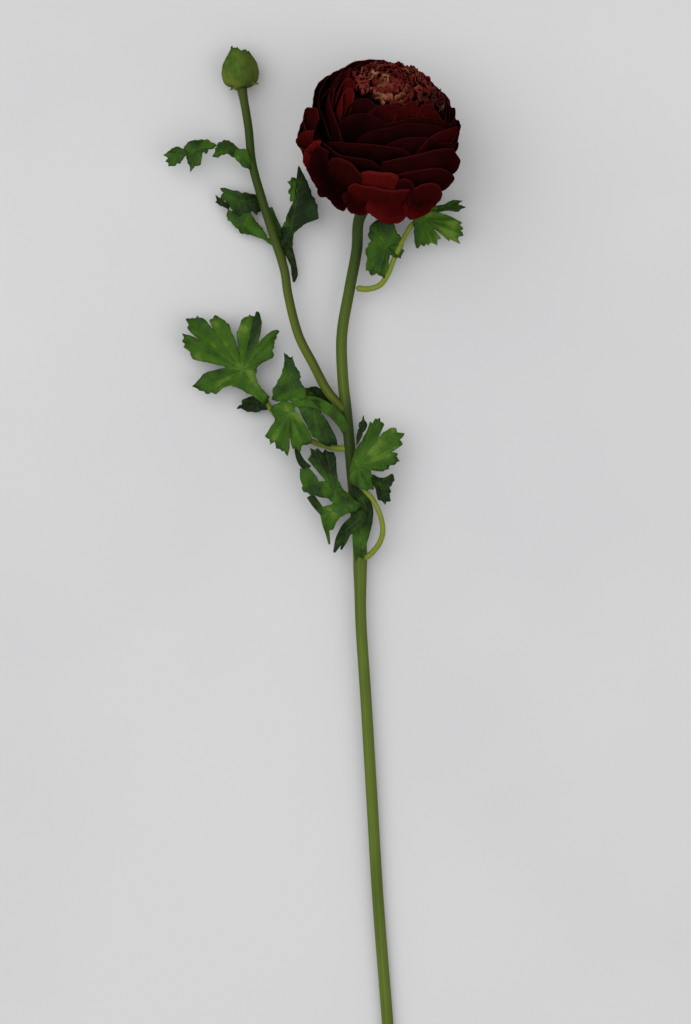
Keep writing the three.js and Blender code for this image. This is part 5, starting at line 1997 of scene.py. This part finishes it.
LOWER_LEAVES = Leaf("leaves_low", "lower_leaves", (
    Stalk(((-13.6, -168, 9), (-13, -168.6, 11.4), (-13.4, -168.4, 13.6)), tone=Tone.MID),
    Blade(
        at=(-23, -162.5, 12.8),
        slope=(0.02, -0.08),
        droop=0.8,
        veins=(103, 118, 152, 259, 332),
        tone=Tone.MID,
        painted_lobe_shade=((102, 24, 0.75), (325, 25, 0.2)),
        rim=((40, 3.6), (78, 5.7), (87, 10.7), (88, 15.4), (92, 18.2), (99, 18.6), (103, 20),
             (108, 18.6), (112, 21.6), (116, 21.4), (120, 23.4), (123, 20.6), (131, 19.5), (129, 16.2),
             (126, 8), (129, 6.6), (153, 7.3), (188, 6.6), (221, 5), (260, 5.5), (294, 9.2), (304, 12.4),
             (317, 14), (332, 14), (342, 7.4)),
    ),
    Strip(((-35.4, -152.2, 12.2, 1.8), (-38.6, -149, 11.4, 1.7), (-40.6, -144.4, 11.4, 1.2),
           (-41.3, -139.8, 11.6, 0.5)), tone=Tone.DARK),
    Strip(((-34.6, -164.6, 12.4, 1.8), (-32, -168.4, 11.6, 1.9), (-29, -172.2, 11.4, 1.6),
           (-26.6, -175.4, 12.2, 1.6))),
    Strip(((-28.4, -173.4, 12.2, 1.5), (-27.6, -178, 11.4, 1.3), (-26.4, -182.8, 10.6, 0.9),
           (-25.6, -187.4, 10, 0.4)), tone=Tone.MID),
    Strip(((-11.8, -195.6, 9, 1.4), (-11.8, -189.6, 10.9, 2.8), (-11, -183.2, 11.2, 3.9),
           (-9.6, -176.4, 11.3, 4.2), (-8.6, -170.8, 11.4, 3.3), (-11, -165.2, 11.8, 2.8),
           (-15.6, -160.2, 12.2, 0.7)), tone=Tone.DARK),
    Strip(((-9.4, -171.6, 11.6, 2.4), (-12.8, -176.4, 13.4, 3.4), (-17.2, -180.2, 12.8, 3.1),
           (-20.8, -185.4, 11.6, 2.1), (-23.4, -191.2, 10.6, 0.5)), tone=Tone.DARK),
    Strip(((-17.6, -180.8, 12.8, 2.4), (-18.4, -185.4, 11.8, 1.3), (-20.2, -189.8, 10.8, 0.4)),
          tone=Tone.DARK),
    Blade(
        at=(-24.6, -172, 12.2),
        slope=(0.05, -0.05),
        veins=(70, 250),
        tone=Tone.MID,
        rim=((27, 7.6), (75, 4.3), (104, 3), (156, 4.9), (195, 4.8), (236, 5.4), (259, 8.9), (270, 8.7),
             (283, 7), (296, 5.3), (331, 5), (355, 8.6)),
    ),
    Blade(
        at=(-33.8, -159.2, 12.6),
        slope=(-0.02, -0.05),
        veins=(150, 335),
        tone=Tone.MID,
        rim=((12, 6.7), (19, 3.5), (93, 6.5), (109, 8.2), (128, 9.1), (170, 5.1), (213, 5.2), (254, 4.9),
             (299, 7), (317, 9.7), (344, 10.3)),
    ),
))

LEAVES = (
    BUD_LEAF,
    BRANCH_LEAF_LEFT,
    BRANCH_LEAF_RIGHT,
    BLOOM_LEAF,
    LEFT_LEAF,
    MIDDLE_LEAF,
    RIGHT_LEAF,
    LOWER_LEAVES,
)

STEM_ROUTE = (
    (3.2, -433.2, 2.7), (1.7, -412.5, 2.8), (-2.9, -354.2, 3.5), (-5.7, -307.3, 4.3),
    (-8.5, -260.4, 5.2), (-10.9, -222.9, 6), (-11.2, -203.2, 6.5), (-11.4, -187.7, 6.8),
    (-13.2, -172.3, 7), (-14.9, -155, 7.5), (-17.7, -124.6, 8), (-19.2, -111.5, 8),
    (-19.8, -90, 8), (-16.3, -68.5, 8.3), (-12.8, -49.4, 8.6), (-12, -36.5, 10.3),
)
BRANCH_ROUTE = (
    (-17.9, -125.5, 8), (-26.3, -116.1, 9), (-33.3, -103.1, 9.5), (-39.9, -90.1, 9.5),
    (-44.9, -70.9, 9.5), (-46.7, -59.2, 9.5), (-52, -42.4, 9.5), (-57.2, -25.8, 9.3),
    (-61.7, -9.2, 9), (-63.5, 7.7, 8.7), (-66.6, 25.9, 8.4), (-66.9, 27.9, 8.4),
)
STEM_TAPER = Taper(2.7, 2.565, 0.975, swelling=0.7)
BRANCH_TAPER = Taper(2.205, 1.953, 0.94)
# painted shade: strong along most of the branch, lighter near the bud
BRANCH_SKIN = StemSkin(
    name="branch_skin",
    light=swatch(88, 104, 28),
    deep=swatch(58, 76, 14),
    brownness=0.85,
    shade=1.4,
    stretch=(0.2, 0.72),
    neck=-0.3,
    knot=0.0,
)


# The studio


@dataclass
class Studio:
    """The pale floor, the soft lights and the camera that looks down on the flower."""

    floor_size: float = 16.0
    floor_gap: float = 0.0003
    floor_colour: Colour = swatch(207, 207, 207)
    cloud_colour: Colour = swatch(196, 196, 198)
    cloud_size: float = 3.5
    world_colour: Colour = swatch(234, 234, 236)
    world_strength: float = 0.6
    lit_point: Triple = (-0.02, -0.12, 0.02)
    key_at: Triple = (-0.8, 0.25, 1.75)
    key_size: float = 2.4
    key_power: float = 26.0
    fill_at: Triple = (1.1, -0.5, 1.5)
    fill_size: float = 1.5
    fill_power: float = 9.0
    camera_at: Triple = (-0.0181, -0.1723, 1.6)
    view_height: float = 0.48128
    sensor: float = 36.0
    clip: Pair = (0.05, 20.0)

    def floor(self) -> None:
        """Lay the floor just under the flower."""
        shape = bmesh.new()
        bmesh.ops.create_grid(shape, x_segments=1, y_segments=1, size=self.floor_size / 2)
        bmesh.ops.translate(shape, vec=(0, 0, -self.floor_gap), verts=shape.verts)
        mesh = bpy.data.meshes.new("floor")
        shape.to_mesh(mesh)
        shape.free()
        graph = Graph("floor_paint")
        clouds = graph.grain(graph.spot(), self.cloud_size, 3.0)
        shade = graph.mix(self.floor_colour, self.cloud_colour, clouds.eased(0.35, 0.7) * 0.5)
        mesh.materials.append(graph.finish(shade, 0.85))
        floor = bpy.data.objects.new("floor", mesh)
        bpy.context.scene.collection.objects.link(floor)

    def lamp(self, name: str, place: Triple, size: float, power: float) -> None:
        """Hang one soft square light that faces the flower.

        Args:
            name: Its name.
            place: Where it hangs, in metres.
            size: Its side, in metres.
            power: Its power in watts.
        """
        light = bpy.data.lights.new(name, "AREA")
        light.size = size
        light.energy = power
        lamp = bpy.data.objects.new(name, light)
        lamp.location = place
        facing = Vector(self.lit_point) - Vector(place)
        lamp.rotation_euler = facing.to_track_quat("-Z", "Y").to_euler()
        bpy.context.scene.collection.objects.link(lamp)

    def build(self) -> None:
        """Set up the floor, the lights, the surroundings and the camera."""
        self.floor()
        self.lamp("key", self.key_at, self.key_size, self.key_power)
        self.lamp("fill", self.fill_at, self.fill_size, self.fill_power)
        world = bpy.data.worlds.new("surroundings")
        world.use_nodes = True
        backdrop = world.node_tree.nodes["Background"]
        backdrop.inputs["Color"].default_value = self.world_colour
        backdrop.inputs["Strength"].default_value = self.world_strength
        bpy.context.scene.world = world
        bpy.context.scene.view_settings.view_transform = "Standard"
        lens = bpy.data.cameras.new("camera")
        lens.sensor_width = self.sensor
        lens.lens = self.sensor * self.camera_at[2] / self.view_height
        lens.clip_start, lens.clip_end = self.clip
        camera = bpy.data.objects.new("camera", lens)
        camera.location = self.camera_at
        bpy.context.scene.collection.objects.link(camera)
        bpy.context.scene.camera = camera


def main() -> None:
    """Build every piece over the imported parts."""
    logging.basicConfig(level=logging.INFO, format="%(name)s %(message)s")
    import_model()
    bloom = BloomShape()
    Studio().build()
    to_bloom = Route.through((*STEM_ROUTE, tuple(bloom.stem_end)))
    to_bud = Route.through(BRANCH_ROUTE)
    Stem("stem", "main_stem", to_bloom, STEM_TAPER, StemSkin()).build()
    Stem("branch", "bud_branch", to_bud, BRANCH_TAPER, BRANCH_SKIN, sides=24, steps=110).build()
    Calyx(bloom).build()
    BloomPetals(bloom).build()
    Heart(bloom).build()
    Bud().build()
    green = LeafSkin().material()
    for leaf in LEAVES:
        leaf.build(green)
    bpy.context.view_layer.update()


if __name__ == "__main__":
    main()
